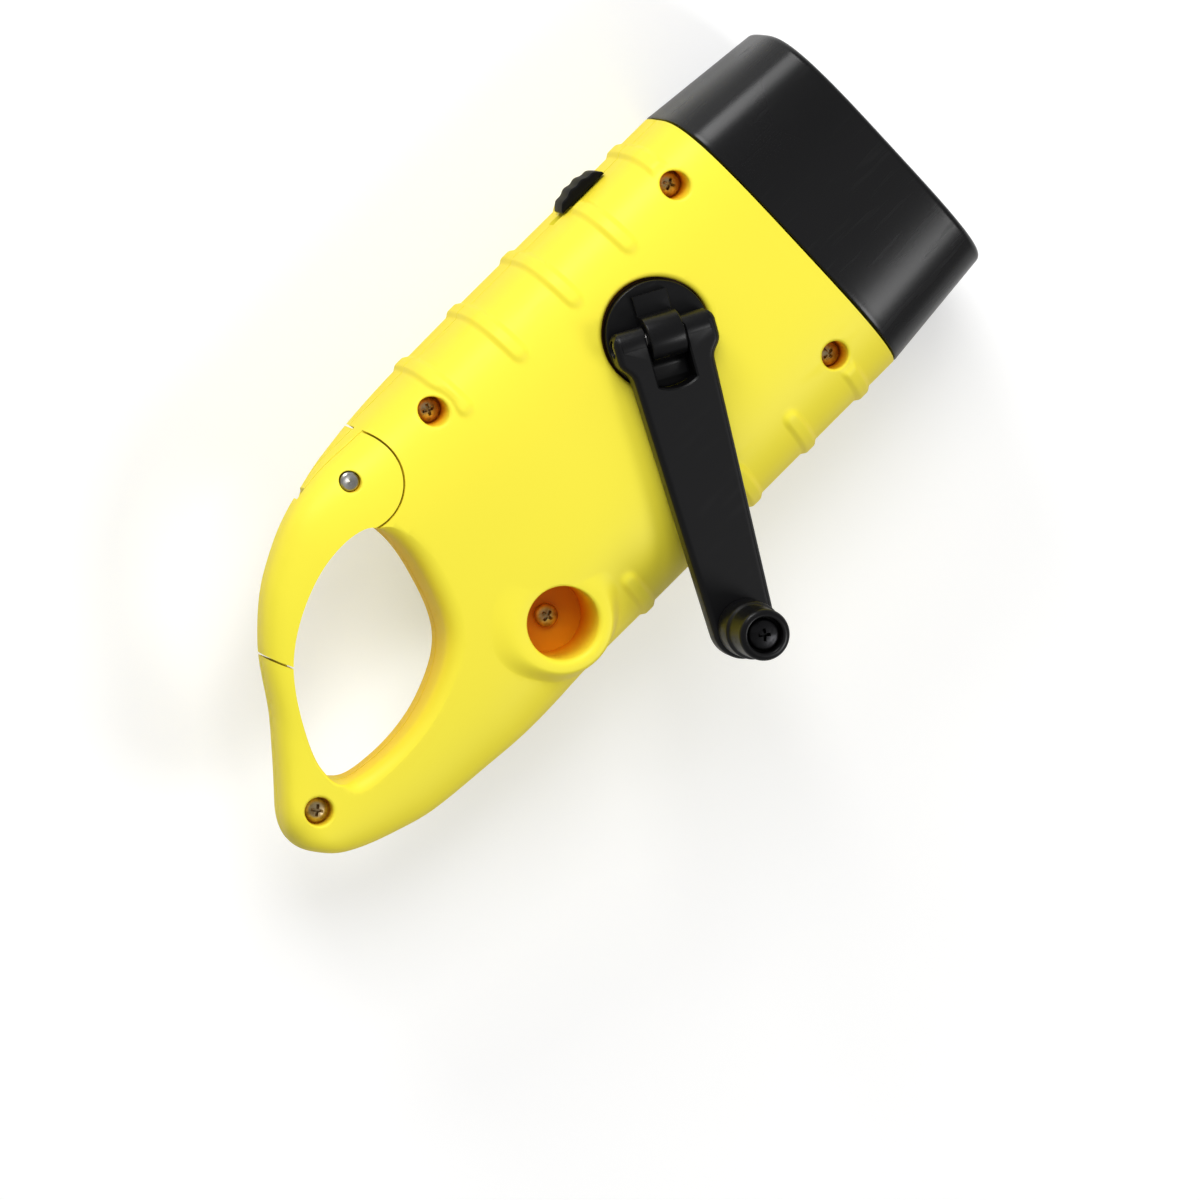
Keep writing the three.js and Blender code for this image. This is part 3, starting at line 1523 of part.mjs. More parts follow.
// Finishes: colour, roughness and metalness.
const FINISHES = {
  yellow: [0xfbed3c, 0.42, 0],
  black: [0x1d1d1d, 0.4, 0],
  gloss: [0x101010, 0.2, 0],
  steel: [0xb4b4b0, 0.35, 1],
  brass: [0xc9a046, 0.35, 1],
  mirror: [0xe4e6e8, 0.08, 1],
  clear: [0xe9f1f5, 0.05, 0],
  lamp: [0xf4f4e8, 0.1, 0],
  board: [0x1f6b3a, 0.6, 0],
  nylon: [0xece8da, 0.5, 0],
  copper: [0xb86a3a, 0.4, 1],
  magnet: [0x3b3b3d, 0.5, 1],
  sleeve: [0x2f7fbf, 0.45, 0],
  cell: [0x14203c, 0.25, 0],
};

const group = new THREE.Group();
function add(name, finish, body) {
  const made = solid(body).getMesh();
  const geometry = new THREE.BufferGeometry()
    .setAttribute("position", new THREE.BufferAttribute(made.vertProperties, 3))
    .setIndex(new THREE.BufferAttribute(made.triVerts, 1));
  geometry.computeVertexNormals();
  const [color, roughness, metalness] = FINISHES[finish];
  const material = new THREE.MeshStandardMaterial({
    color,
    roughness,
    metalness,
    flatShading: true,
  });
  const mesh = new THREE.Mesh(geometry, material);
  mesh.name = name;
  group.add(mesh);
}

add("crank_side_shell", "yellow", crankSideShell());
add("solar_side_shell", "yellow", solarSideShell());
shellScrews.forEach((row, i) =>
  add(`shell_screw_${i + 1}`, "steel", screw(row, shellScrewSize)),
);

add("head_bezel", "black", headBezel());
add("front_lens", "clear", frontLens());
add("reflector", "mirror", reflector());
add("lamp_board", "board", lampBoard());
lampPlaces.forEach((y, i) => add(`lamp_${i + 1}`, "lamp", lamp(y)));

add(
  "solar_window",
  "clear",
  panelPlate(GAP, PANEL_SINK, PANEL_SINK + PANEL_THICKNESS),
);
const cellFloor = PANEL_SINK + PANEL_THICKNESS + GAP;
add(
  "solar_cell",
  "cell",
  panelPlate(PANEL_LEDGE + GAP, cellFloor, cellFloor + CELL_THICKNESS),
);
add("battery_pack", "sleeve", batteryPack());
add("main_board", "board", mainBoard());
add("slide_switch_body", "steel", slideSwitchBody());
add("switch_slider", "gloss", switchSlider());

add("gear_plate", "steel", gearPlate());
platePosts.forEach((place, i) => {
  const row = { place, seat: plateTop, shank: PLATE_SCREW_LENGTH };
  add(`gear_plate_screw_${i + 1}`, "steel", screw(row, plateScrewSize));
});
add("axle_2", "steel", axle(gear2Place, gearLevel[2] + GEAR_WIDTH + GEAR_STEP));
add("axle_3", "steel", axle(gear3Place, gearLevel[1] + GEAR_WIDTH + GEAR_STEP / 2));
add(
  "compound_gear_2",
  "nylon",
  compoundGear(GEAR_2_TEETH, gear2Place, 1, gear2Phase),
);
add(
  "compound_gear_3",
  "nylon",
  compoundGear(GEAR_3_TEETH, gear3Place, 0, gear3Phase),
);
add("rotor_pinion", "steel", rotorPinion());
add("rotor_magnet", "magnet", rotorMagnet());
add("stator_coil", "copper", statorCoil());
add("stator_cup", "steel", statorCup());

const bushFloor = BODY_THICKNESS - HUB_SEAT_DEPTH - HUB_PAD_THICKNESS;
add(
  "hub_bush",
  "brass",
  tube(
    HUB_SHAFT_RADIUS + GAP,
    HUB_SHAFT_RADIUS + GAP + BUSH_WALL,
    bushFloor,
    BODY_THICKNESS - HUB_SEAT_DEPTH,
    hubPlace,
  ),
);
add("crank_hub", "gloss", crankHub());
add("drive_gear", "nylon", driveGear());
const clipFloor = gearLevel[2] + GEAR_WIDTH + GAP;
add(
  "hub_clip",
  "steel",
  tube(
    HUB_SHAFT_RADIUS + GAP,
    HUB_SHAFT_RADIUS + GAP + BUSH_WALL,
    clipFloor,
    clipFloor + GEAR_STEP,
    hubPlace,
  ),
);
add("hinge_pin", "steel", solid(pinBar(HINGE_PIN_RADIUS, EARS_WIDTH - SLACK)));
add("crank_arm", "black", crankArm());
add("crank_knob", "gloss", crankKnob());
add("knob_screw", "steel", knobScrew());

add("hook_gate", "yellow", gateBar());
add("gate_pin", "steel", pinOfGate());
add("gate_spring", "steel", gateSpring());

export default group;
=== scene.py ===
"""Solar dynamo flashlight with a folding crank and a snap-hook tail.

Lengths are written in millimetres and turned into metres when a mesh is made.
+X points to the lens, +Y to the switch and the gate, +Z to the crank.
"""
import math

import bmesh
import bpy
import numpy as np
from mathutils import Matrix


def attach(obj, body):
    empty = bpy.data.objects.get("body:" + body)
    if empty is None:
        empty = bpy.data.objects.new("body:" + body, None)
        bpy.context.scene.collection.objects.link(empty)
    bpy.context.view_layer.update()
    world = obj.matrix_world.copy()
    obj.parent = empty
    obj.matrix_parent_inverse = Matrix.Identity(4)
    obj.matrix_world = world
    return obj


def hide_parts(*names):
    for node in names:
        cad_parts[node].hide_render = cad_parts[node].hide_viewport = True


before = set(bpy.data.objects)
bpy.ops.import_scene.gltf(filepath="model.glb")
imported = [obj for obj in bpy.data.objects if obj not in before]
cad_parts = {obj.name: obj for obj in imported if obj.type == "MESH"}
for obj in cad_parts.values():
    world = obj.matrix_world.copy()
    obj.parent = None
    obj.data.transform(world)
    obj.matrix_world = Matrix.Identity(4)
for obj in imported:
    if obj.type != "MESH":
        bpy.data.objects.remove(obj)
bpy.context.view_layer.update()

# Floor, lamps and camera: a white table, which the camera sees brighter than it
# is, under a soft key lamp that glossy pieces don't mirror, a lamp over the back
# side and a low one on the gate's side. The lens points up and to the right.
MM = 0.001
CAMERA_TARGET = (-5.95, -20.04, 17.0)
CAMERA_RIGHT = (0.7038, -0.6708, 0.2336)
CAMERA_UP = (0.7038, 0.7033, -0.1003)
CAMERA_BACK = (-0.0970, 0.2350, 0.9671)
CAMERA_DISTANCE = 1000.0
CAMERA_LENS = 207.0
CAMERA_SIGHT = 10000.0
FLOOR_HALF = 1500.0
FLOOR_DROP = 0.15
FLOOR_WHITE = (0.72, 0.72, 0.72, 1)
FLOOR_ROUGHNESS = 0.9
FLOOR_GLOW = 0.37
SKY_LEVEL = 0.27
LAMPS = {
    "key_lamp": {"way": (0.25, 0.5, 0.83), "far": 800.0, "size": 400.0, "power": 3.0, "mirrored": False},
    "low_lamp": {"way": (0.23, -0.61, 0.76), "far": 900.0, "size": 280.0, "power": 2.4, "mirrored": True},
    "side_lamp": {"way": (0.23, 0.9, 0.36), "far": 900.0, "size": 360.0, "power": 3.4, "mirrored": True},
}


def metres(values):
    """The same numbers in metres."""
    return np.asarray(values, float) * MM


def link(name, data):
    """A new object at the origin, in the scene's first collection."""
    made = bpy.data.objects.new(name, data)
    bpy.context.scene.collection.objects.link(made)
    return made


def turned_to(right, up, back, place):
    """A matrix whose columns are three unit vectors and a place."""
    rows = np.array([right, up, back, place], float).T.tolist()
    return Matrix([*rows, [0, 0, 0, 1]])


camera = link("camera", bpy.data.cameras.new("camera"))
eye_place = metres(CAMERA_TARGET) + CAMERA_DISTANCE * MM * np.array(CAMERA_BACK)
camera.matrix_world = turned_to(CAMERA_RIGHT, CAMERA_UP, CAMERA_BACK, eye_place)
camera.data.lens = CAMERA_LENS
camera.data.clip_end = CAMERA_SIGHT * MM
bpy.context.scene.camera = camera

for name, lamp in LAMPS.items():
    data = bpy.data.lights.new(name, "AREA")
    data.energy = lamp["power"]
    data.size = lamp["size"] * MM
    back = np.array(lamp["way"]) / np.linalg.norm(lamp["way"])
    right = np.cross((0, 0, 1), back)
    right /= np.linalg.norm(right)
    place = metres(CAMERA_TARGET) + lamp["far"] * MM * back
    stand = link(name, data)
    stand.matrix_world = turned_to(right, np.cross(back, right), back, place)
    stand.visible_glossy = lamp["mirrored"]

world = bpy.data.worlds.new("studio")
world.use_nodes = True
world.node_tree.nodes["Background"].inputs["Color"].default_value = (1, 1, 1, 1)
world.node_tree.nodes["Background"].inputs["Strength"].default_value = SKY_LEVEL
bpy.context.scene.world = world
bpy.context.scene.view_settings.view_transform = "Standard"

floor_mesh = bpy.data.meshes.new("floor")
floor_corners = [(x, y, -FLOOR_DROP) for x, y in ((-1, -1), (1, -1), (1, 1), (-1, 1))]
floor_corners = [(x * FLOOR_HALF, y * FLOOR_HALF, z) for x, y, z in floor_corners]
floor_mesh.from_pydata(metres(floor_corners).tolist(), [], [(0, 1, 2, 3)])
floor = link("floor", floor_mesh)
paper = bpy.data.materials.new("white_paper")
paper.use_nodes = True
paper_shader = paper.node_tree.nodes["Principled BSDF"]
paper_shader.inputs["Base Color"].default_value = FLOOR_WHITE
paper_shader.inputs["Roughness"].default_value = FLOOR_ROUGHNESS
paper_shader.inputs["Emission Color"].default_value = (1, 1, 1, 1)
light_path = paper.node_tree.nodes.new("ShaderNodeLightPath")
glow = paper.node_tree.nodes.new("ShaderNodeMath")
glow.operation = "MULTIPLY"
glow.inputs[1].default_value = FLOOR_GLOW
paper.node_tree.links.new(light_path.outputs["Is Camera Ray"], glow.inputs[0])
paper.node_tree.links.new(glow.outputs["Value"], paper_shader.inputs["Emission Strength"])
floor.data.materials.append(paper)

# Form of the housing. Both shells and the gate are cut from one moulded form:
# an oblong section that keeps its width along the grip and thins to the hook.
# Its side lines, faces and parting line are the same curves as in the CAD part.
BODY_LENGTH = 110.8
BODY_HALF_WIDTH = 24.4
BODY_THICKNESS = 34.0
PARTING_HEIGHT = 17.0
SOLAR_SIDE_SWELL = 1.5
SEAM_X = 48.0
SECTION_POWER = 3.4
TIP_POWER = 2.5
TIP_RADIUS = 4.5
FACE_DROP = 4.2
TAIL_BASE_HEIGHT = 18.5
WALL = 2.0
GAP = 0.3
OVERRUN = 1.0
GATE_SIDE_SHARES = [
    (0, -1), (0.62, -1), (0.686, -0.967), (0.779, -0.791), (0.851, -0.508),
    (0.907, -0.139), (0.964, 0.172), (0.987, 0.295), (1, 0.451),
]
BACK_SIDE_SHARES = [
    (0, 1), (0.6, 1), (0.758, 0.955), (0.839, 0.918), (0.894, 0.848),
    (0.963, 0.705), (0.989, 0.578), (1, 0.451),
]
GATE_PIN_SHARES = (0.6255, -0.8566)
PIN_S = GATE_PIN_SHARES[0] * BODY_LENGTH
FACE_FALL_START = PIN_S - 25
SWELL_FADE = (PIN_S - 31.3, PIN_S - 17.3)
BASE_RISE = (PIN_S - 18.9, PIN_S + 8.8)
PARTING_RISE = (PIN_S - 9.5, PIN_S + 10.5)
SECTION_COUNT = 300
FINE_STEPS = 4000
TAIL_STEPS = 84
PARTING_STEPS = 80
TAIL_START = 58.0
GRIP_STEP = 0.9
CREASE_ANGLE = 32.0
WELD = 0.0015


def to_x(s):
    """X of a place s behind the head seam."""
    return SEAM_X - s


def ease(x, start, end):
    """Goes from 0 at start to 1 at end: 3t^2 - 2t^3 of the clipped share t."""
    t = np.clip((np.asarray(x, float) - start) / (end - start), 0, 1)
    return t * t * (3 - 2 * t)


def smooth_line(points):
    """Cubic through the points whose slope is the harmonic mean of both sides.

    It never overshoots the points, because a turning point gets slope zero.
    """
    x, y = np.array(points, float).T
    step = np.diff(x)
    rise = np.diff(y) / step
    p, q = 2 * step[1:] + step[:-1], step[1:] + 2 * step[:-1]
    same = rise[:-1] * rise[1:] > 0
    first, after = np.where(same, rise[:-1], 1), np.where(same, rise[1:], 1)
    inner = np.where(same, (p + q) / (p / first + q / after), 0)
    slope = np.concatenate([[rise[0]], inner, [rise[-1]]])

    def line(at):
        i = np.clip(np.searchsorted(x, at) - 1, 0, len(step) - 1)
        t = (at - x[i]) / step[i]
        near = (1 + 2 * t) * (1 - t) ** 2 * y[i] + t * t * (3 - 2 * t) * y[i + 1]
        lean = t * (1 - t) ** 2 * slope[i] - t * t * (1 - t) * slope[i + 1]
        return near + lean * step[i]

    return line


def side_line(shares):
    """Side of the body: a smooth line over 1 - sqrt(1 - s / length)."""
    line = smooth_line([(1 - math.sqrt(1 - s), y) for s, y in shares])

    def side(s):
        left = np.clip(1 - np.maximum(s, 0) / BODY_LENGTH, 0, 1)
        return -BODY_HALF_WIDTH * line(1 - np.sqrt(left))

    return side


gate_side = side_line(GATE_SIDE_SHARES)
back_side = side_line(BACK_SIDE_SHARES)
TAIL_PARTING = (BODY_THICKNESS - FACE_DROP + TAIL_BASE_HEIGHT) / 2


def face_height(s):
    """Height of the crank face, which falls by FACE_DROP to the tip."""
    return BODY_THICKNESS - FACE_DROP * ease(s, FACE_FALL_START, BODY_LENGTH)


def base_height(s):
    """Height of the solar face, below the table along the grip, then rising."""
    swell = SOLAR_SIDE_SWELL * (1 - ease(s, *SWELL_FADE))
    return TAIL_BASE_HEIGHT * ease(s, *BASE_RISE) - swell


def parting_height(s):
    """Height of the line where the two shells meet."""
    return PARTING_HEIGHT + (TAIL_PARTING - PARTING_HEIGHT) * ease(s, *PARTING_RISE)


def skin_height(s, y, upper=True):
    """Height of the skin at a place in plan: the section's superellipse."""
    half = (gate_side(s) - back_side(s)) / 2
    off = np.abs(y - (gate_side(s) + back_side(s)) / 2) / half
    rise = np.clip(1 - off ** SECTION_POWER, 0, 1) ** (1 / SECTION_POWER)
    wide = parting_height(s)
    edge = face_height(s) if upper else base_height(s)
    return np.maximum(wide + (edge - wide) * rise, 0)


def even_angles(count, aspect):
    """Angles that step evenly along a superellipse of the given aspect."""
    angle = np.linspace(0, 2 * np.pi, FINE_STEPS + 1)
    y = aspect * np.sign(np.cos(angle)) * np.abs(np.cos(angle)) ** (2 / SECTION_POWER)
    z = np.sign(np.sin(angle)) * np.abs(np.sin(angle)) ** (2 / SECTION_POWER)
    along = np.concatenate([[0], np.cumsum(np.hypot(np.diff(y), np.diff(z)))])
    return np.interp(np.arange(count) / count * along[-1], along, angle)


def oblong(angles, y_middle, y_half, wide, up, down):
    """Superellipse ring: y and z are signed powers of cosine and sine.

    The half height is `up` above the widest line and `down` below it.
    """
    power = 2 / SECTION_POWER
    across = np.sign(np.cos(angles)) * np.abs(np.cos(angles)) ** power
    rise = np.sign(np.sin(angles)) * np.abs(np.sin(angles)) ** power
    z = wide + np.where(rise > 0, up, down) * rise
    return y_middle + y_half * across, z


def body_rings(places, inset, angles):
    """Rings of the body's form at the places s, drawn in by inset."""
    s = np.asarray(places, float)[:, None]
    near = np.clip((BODY_LENGTH - s) / TIP_RADIUS, 0, 1)
    tip = (1 - (1 - near) ** TIP_POWER) ** (1 / TIP_POWER)
    wide = parting_height(s)
    up = (face_height(s) - wide) * tip - inset
    down = (wide - base_height(s)) * tip - inset
    middle = (gate_side(s) + back_side(s)) / 2
    half = (gate_side(s) - back_side(s)) / 2 - inset
    y, z = oblong(angles, middle, half, wide, up, down)
    return np.stack([np.broadcast_to(to_x(s), y.shape), y, z], -1)


def quads(rows, count, wrap=False):
    """Faces between neighbouring rings of equal point counts."""
    turns = rows if wrap else rows - 1
    i, j = np.meshgrid(np.arange(turns), np.arange(count), indexing="ij")
    k = (j + 1) % count
    n = (i + 1) % rows
    faces = [i * count + j, i * count + k, n * count + k, n * count + j]
    return np.stack(faces, -1).reshape(-1, 4).tolist()


def solid(name, points, faces):
    """A closed mesh whose faces are turned outwards by its signed volume."""
    mesh = bpy.data.meshes.new(name)
    mesh.from_pydata(metres(points).tolist(), [], faces)
    work = bmesh.new()
    work.from_mesh(mesh)
    if work.calc_volume(signed=True) < 0:
        mesh.flip_normals()
    work.free()
    return link(name, mesh)


def lofted(name, rings, poles=None):
    """A skin through rings of points, closed by a fan at each end."""
    rings = np.asarray(rings, float)
    rows, count = rings.shape[:2]
    ends = (rings[0].mean(0), rings[-1].mean(0)) if poles is None else poles
    points = np.vstack([rings.reshape(-1, 3), *np.asarray(ends, float)])
    first = rows * count
    last = (rows - 1) * count
    turn = [(i, (i + 1) % count) for i in range(count)]
    fans = [(first, j, i) for i, j in turn]
    fans += [(first + 1, last + i, last + j) for i, j in turn]
    return solid(name, points, quads(rows, count) + fans)


def hooped(name, rings):
    """A skin through rings that close on the first one, as round a torus."""
    rings = np.asarray(rings, float)
    rows, count = rings.shape[:2]
    return solid(name, rings.reshape(-1, 3), quads(rows, count, wrap=True))


def round_ways(count):
    """Unit directions in plan, evenly round a circle."""
    angle = np.arange(count) / count * 2 * np.pi
    return np.stack([np.cos(angle), np.sin(angle)], -1)


def lathe_rings(profile, place, sides, basis=np.eye(3)):
    """Profile points (radius, height) carried round an axis at the place."""
    rim = np.column_stack([round_ways(sides), np.zeros(sides)])
    radius, height = np.array(profile, float).T
    points = radius[:, None, None] * rim
    points[..., 2] += height[:, None]
    return points @ np.asarray(basis).T + place


def turned(name, profile, place=(0, 0, 0), sides=64, basis=np.eye(3)):
    """A turned body. Its profile starts and ends on the axis."""
    rings = lathe_rings(profile, place, sides, basis)
    return lofted(name, rings[1:-1], (rings[0, 0], rings[-1, 0]))


def rod(name, radius, low, high, place, sides=64):
    """A plain round bar along Z at a place in plan."""
    profile = [(0, low), (radius, low), (radius, high), (0, high)]
    return turned(name, profile, (*place, 0), sides)


def block(name, low, high):
    """A box between two corners."""
    corners = np.array([(x, y, z) for x in (0, 1) for y in (0, 1) for z in (0, 1)])
    low, high = np.array(low, float), np.array(high, float)
    faces = [(0, 1, 3, 2), (4, 6, 7, 5), (0, 4, 5, 1), (2, 3, 7, 6), (0, 2, 6, 4), (1, 5, 7, 3)]
    return solid(name, low + corners * (high - low), faces)


def above(height):
    """Everything over a height."""
    far = 2 * BODY_LENGTH
    return block("above", (-far, -far, height), (far, far, far))


def carve(body, operation, *tools):
    """Joins tools to a body, cuts them out of it, or keeps what they share."""
    for tool in tools:
        step = body.modifiers.new("carve", "BOOLEAN")
        step.operation = operation
        step.solver = "MANIFOLD"
        step.object = tool
    graph = bpy.context.evaluated_depsgraph_get()
    made = bpy.data.meshes.new_from_object(body.evaluated_get(graph), depsgraph=graph)
    body.modifiers.clear()
    body.data = made
    for tool in tools:
        bpy.data.objects.remove(tool)
    return body


def twin(body):
    """A second copy of a body, for a tool that is used twice."""
    return link(body.name + "_twin", body.data.copy())


def fitted(piece, finish, body, slot, *nodes, crease=CREASE_ANGLE):
    """Welds, shades and paints a piece, and lets it ride on its body."""
    work = bmesh.new()
    work.from_mesh(piece.data)
    bmesh.ops.remove_doubles(work, verts=work.verts, dist=WELD * MM)
    bmesh.ops.dissolve_degenerate(work, edges=work.edges, dist=WELD * MM)
    work.to_mesh(piece.data)
    work.free()
    piece.data.materials.clear()
    piece.data.materials.append(finish)
    piece.data.shade_smooth()
    piece.data.set_sharp_from_angle(angle=math.radians(crease))
    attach(piece, body)
    if nodes:
        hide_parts(*nodes)
    return piece


# Ribs of the grip: five low rounded bars round each side, with round inner
# ends on the faces. They are moulded on both shells, and fade out round the
# screw holes and on the bare land where the switch slides.
RIB_COUNT = 5
RIB_FIRST = 6.5
RIB_PITCH = 11.0
RIB_WIDTH = 2.2
RIB_HEIGHT = 0.5
RIB_INNER_END = 17.6
RIB_EDGE = 1.05
RIB_EDGE_STEPS = 15
RIB_EDGE_REACH = 0.75
RING_STEP = 0.03
SWITCH_S = 15.4
SWITCH_TRAVEL = 4.0
SWITCH_LENGTH = 8.3
SWITCH_HEIGHT = 5.0
SLACK = 0.6
SCREW_PLACE_SHARES = [(0.06, -0.762), (0.0605, 0.623), (0.4865, -0.811), (0.9485, 0.402)]
SCREW_HOLE_RADIUS = 2.05
HOLE_EDGE = 0.5


def place_of(shares):
    """A place in plan from its shares of the length and the half width."""
    return np.array([to_x(shares[0] * BODY_LENGTH), -shares[1] * BODY_HALF_WIDTH])


rib_places = RIB_FIRST + RIB_PITCH * np.arange(RIB_COUNT)
switch_x = to_x(SWITCH_S)
hole_places = [place_of(shares) for shares in SCREW_PLACE_SHARES]


def rib_lift(x, y, z):
    """Height of the ribs: a rounded step over the distance to a round bar."""
    off = np.abs(x[..., None] - to_x(rib_places)).min(-1)
    short = np.maximum(RIB_INNER_END - np.abs(y), 0)
    inside = RIB_WIDTH / 2 - np.hypot(off, short)
    lift = RIB_HEIGHT * ease(inside, -RIB_EDGE / 2, RIB_EDGE / 2)
    hole = np.min([np.hypot(x - place[0], y - place[1]) for place in hole_places], axis=0)
    mouth = SCREW_HOLE_RADIUS + HOLE_EDGE
    lift *= np.where(z > PARTING_HEIGHT, ease(hole, mouth, mouth + RIB_EDGE), 1)
    middle = switch_x - SWITCH_TRAVEL / 2
    half = (SWITCH_LENGTH + SWITCH_TRAVEL) / 2 + SLACK
    aside = np.maximum(
        np.abs(x - middle) - half,
        np.abs(z - PARTING_HEIGHT) - SWITCH_HEIGHT / 2 - SLACK,
    )
    return lift * np.where(y > 0, ease(aside, 0, RIB_EDGE), 1)


def form_rings():
    """Rings of the whole form, close together round ribs and at the tip."""
    edge = np.linspace(-RIB_EDGE, RIB_EDGE, RIB_EDGE_STEPS) * RIB_EDGE_REACH
    ribs = [place + side * RIB_WIDTH / 2 + edge for place in rib_places for side in (-1, 1)]
    grip = np.arange(0, TAIL_START, GRIP_STEP)
    near = np.abs(grip[:, None] - rib_places).min(1)
    grip = grip[np.abs(near - RIB_WIDTH / 2) > RIB_EDGE]
    share = np.arange(TAIL_STEPS) / TAIL_STEPS
    tail = TAIL_START + (BODY_LENGTH - TAIL_START) * (1 - (1 - share) ** 2)
    places = np.sort(np.concatenate([grip, *ribs, tail]))
    places = places[np.concatenate([[True], np.diff(places) > RING_STEP])]
    angles = even_angles(SECTION_COUNT, BODY_HALF_WIDTH / PARTING_HEIGHT)
    rings = body_rings(places, 0, angles)
    x, y, z = np.moveaxis(rings, -1, 0)
    out_y = np.sign(y) * np.abs(y / BODY_HALF_WIDTH) ** (SECTION_POWER - 1)
    up = (z - PARTING_HEIGHT) / PARTING_HEIGHT
    out_z = np.sign(up) * np.abs(up) ** (SECTION_POWER - 1)
    length = np.hypot(out_y / BODY_HALF_WIDTH, out_z / PARTING_HEIGHT) + 1e-9
    lift = rib_lift(x, y, z)
    rings[..., 1] += lift * out_y / BODY_HALF_WIDTH / length
    rings[..., 2] += lift * out_z / PARTING_HEIGHT / length
    return rings


def whole_form():
    """The form of both shells, cut flat where it lies on the table."""
    tip = (to_x(BODY_LENGTH), float(gate_side(np.float64(BODY_LENGTH))), TAIL_PARTING)
    rings = form_rings()
    made = lofted("form", rings, (rings[0].mean(0), tip))
    return carve(made, "INTERSECT", above(0))


def half_space(upper):
    """Everything over or under the parting surface, less half the gap."""
    side = BODY_HALF_WIDTH + 4 * OVERRUN
    far = BODY_THICKNESS + side if upper else -side
    s = np.linspace(-OVERRUN, BODY_LENGTH + OVERRUN, PARTING_STEPS)
    line = parting_height(s) + (GAP / 2 if upper else -GAP / 2)
    near = np.stack([to_x(s), line], -1)
    beyond = np.stack([to_x(s), np.full_like(s, far)], -1)[::-1]
    outline = np.vstack([near, beyond])
    points = [(x, y, z) for y in (-side, side) for x, z in outline]
    count = len(s)
    back = [(2 * count - 1 - i, 2 * count - 2 - i, i + 1, i) for i in range(count - 1)]
    front = [tuple(2 * count + k for k in face)[::-1] for face in back]
    return solid("half", points, quads(2, len(outline)) + back + front)


# Openings of the housing: the eye of the hook, with mouths rounded by rings
# that follow a quarter circle, the gate's room, and round holes for screws.
EYE_SHARES = [
    (0.645, -0.58), (0.669, -0.63), (0.724, -0.619), (0.793, -0.492),
    (0.845, -0.307), (0.887, -0.02), (0.908, 0.23), (0.903, 0.385),
    (0.842, 0.455), (0.755, 0.406), (0.677, 0.201), (0.643, -0.143),
    (0.635, -0.4),
]
EYE_BODY_WAY = (math.cos(math.radians(-48.6)), math.sin(math.radians(-48.6)))
EYE_BODY_EDGE = 2.8
EYE_GATE_EDGE = 0.5
EYE_EDGE_TURN = (0.05, 0.65)
EYE_COUNT = 180
EYE_SPAN_STEPS = 40
EDGE_TURNS = 9
EDGE_LIFT = 0.02
GATE_TIP_SHARES = (0.8484, -0.352)
GATE_DISC_RADIUS = 7.3
GATE_SECTOR = (-106.5, 25.5)
GATE_SIDES = 120
ABOVE = BODY_THICKNESS + 2 * OVERRUN


def eye_outline():
    """Centripetal Catmull-Rom curve through the eye's points, stepped evenly."""
    points = np.array([place_of(shares) for shares in EYE_SHARES])
    rows = []
    for i in range(len(points)):
        a, b, c, d = (points[(i + k - 1) % len(points)] for k in range(4))
        pairs = ((a, b), (b, c), (c, d))
        knots = np.cumsum([0, *(np.linalg.norm(q - p) ** 0.5 for p, q in pairs)])
        t = np.linspace(knots[1], knots[2], EYE_SPAN_STEPS, endpoint=False)[:, None]

        def mix(p, q, start, end):
            return ((end - t) * p + (t - start) * q) / (end - start)

        ab, bc, cd = (mix(p, q, knots[k], knots[k + 1]) for k, (p, q) in enumerate(pairs))
        abc, bcd = mix(ab, bc, knots[0], knots[2]), mix(bc, cd, knots[1], knots[3])
        rows.append(mix(abc, bcd, knots[1], knots[2]))
    line = np.vstack([*rows, rows[0][:1]])
    along = np.concatenate([[0], np.cumsum(np.linalg.norm(np.diff(line, axis=0), axis=1))])
    at = np.arange(EYE_COUNT) / EYE_COUNT * along[-1]
    return np.stack([np.interp(at, along, line[:, k]) for k in (0, 1)], -1)


def normals_of(outline):
    """Outward unit normals of a closed outline, from its neighbours' chord."""
    before, after = np.roll(outline, 1, 0), np.roll(outline, -1, 0)
    chord = after - before
    chord /= np.linalg.norm(chord, axis=1)[:, None]
    area = np.sum(outline[:, 0] * after[:, 1] - after[:, 0] * outline[:, 1])
    return np.stack([chord[:, 1], -chord[:, 0]], -1) * np.sign(area)


def spread(outline, distance):
    """An outline moved outwards along its normals."""
    return outline + normals_of(outline) * distance


def quarter(radius, turns=EDGE_TURNS):
    """Pairs (distance out, depth) along a quarter circle, from wall to face.

    A radius of zero gives one pair, for a plain edge.
    """
    if not radius:
        return [(0.0, 0.0)]
    angle = np.linspace(0, np.pi / 2, turns)
    return [(radius * (1 - math.cos(a)), radius * (1 - math.sin(a))) for a in angle]


def eye_cutter():
    """The eye's prism, spread at both mouths along a quarter circle.

    The circle's radius grows from the gate's side of the eye to the body's.
    """
    outline = eye_outline()
    outward = normals_of(outline)
    turn = ease(outward @ EYE_BODY_WAY, *EYE_EDGE_TURN)
    radius = EYE_GATE_EDGE + (EYE_BODY_EDGE - EYE_GATE_EDGE) * turn

    def ring(out, depth, edge, way):
        moved = outline + outward * (radius * out)[:, None]
        height = edge(SEAM_X - moved[:, 0]) + way * (radius * depth - EDGE_LIFT)
        return np.column_stack([moved, height])

    rows = [ring(out, depth, base_height, 1) for out, depth in quarter(1)[::-1]]
    rows += [ring(out, depth, face_height, -1) for out, depth in quarter(1)]
    under, over = rows[0].copy(), rows[-1].copy()
    under[:, 2], over[:, 2] = -OVERRUN, ABOVE
    return lofted("eye", [under, *rows, over])


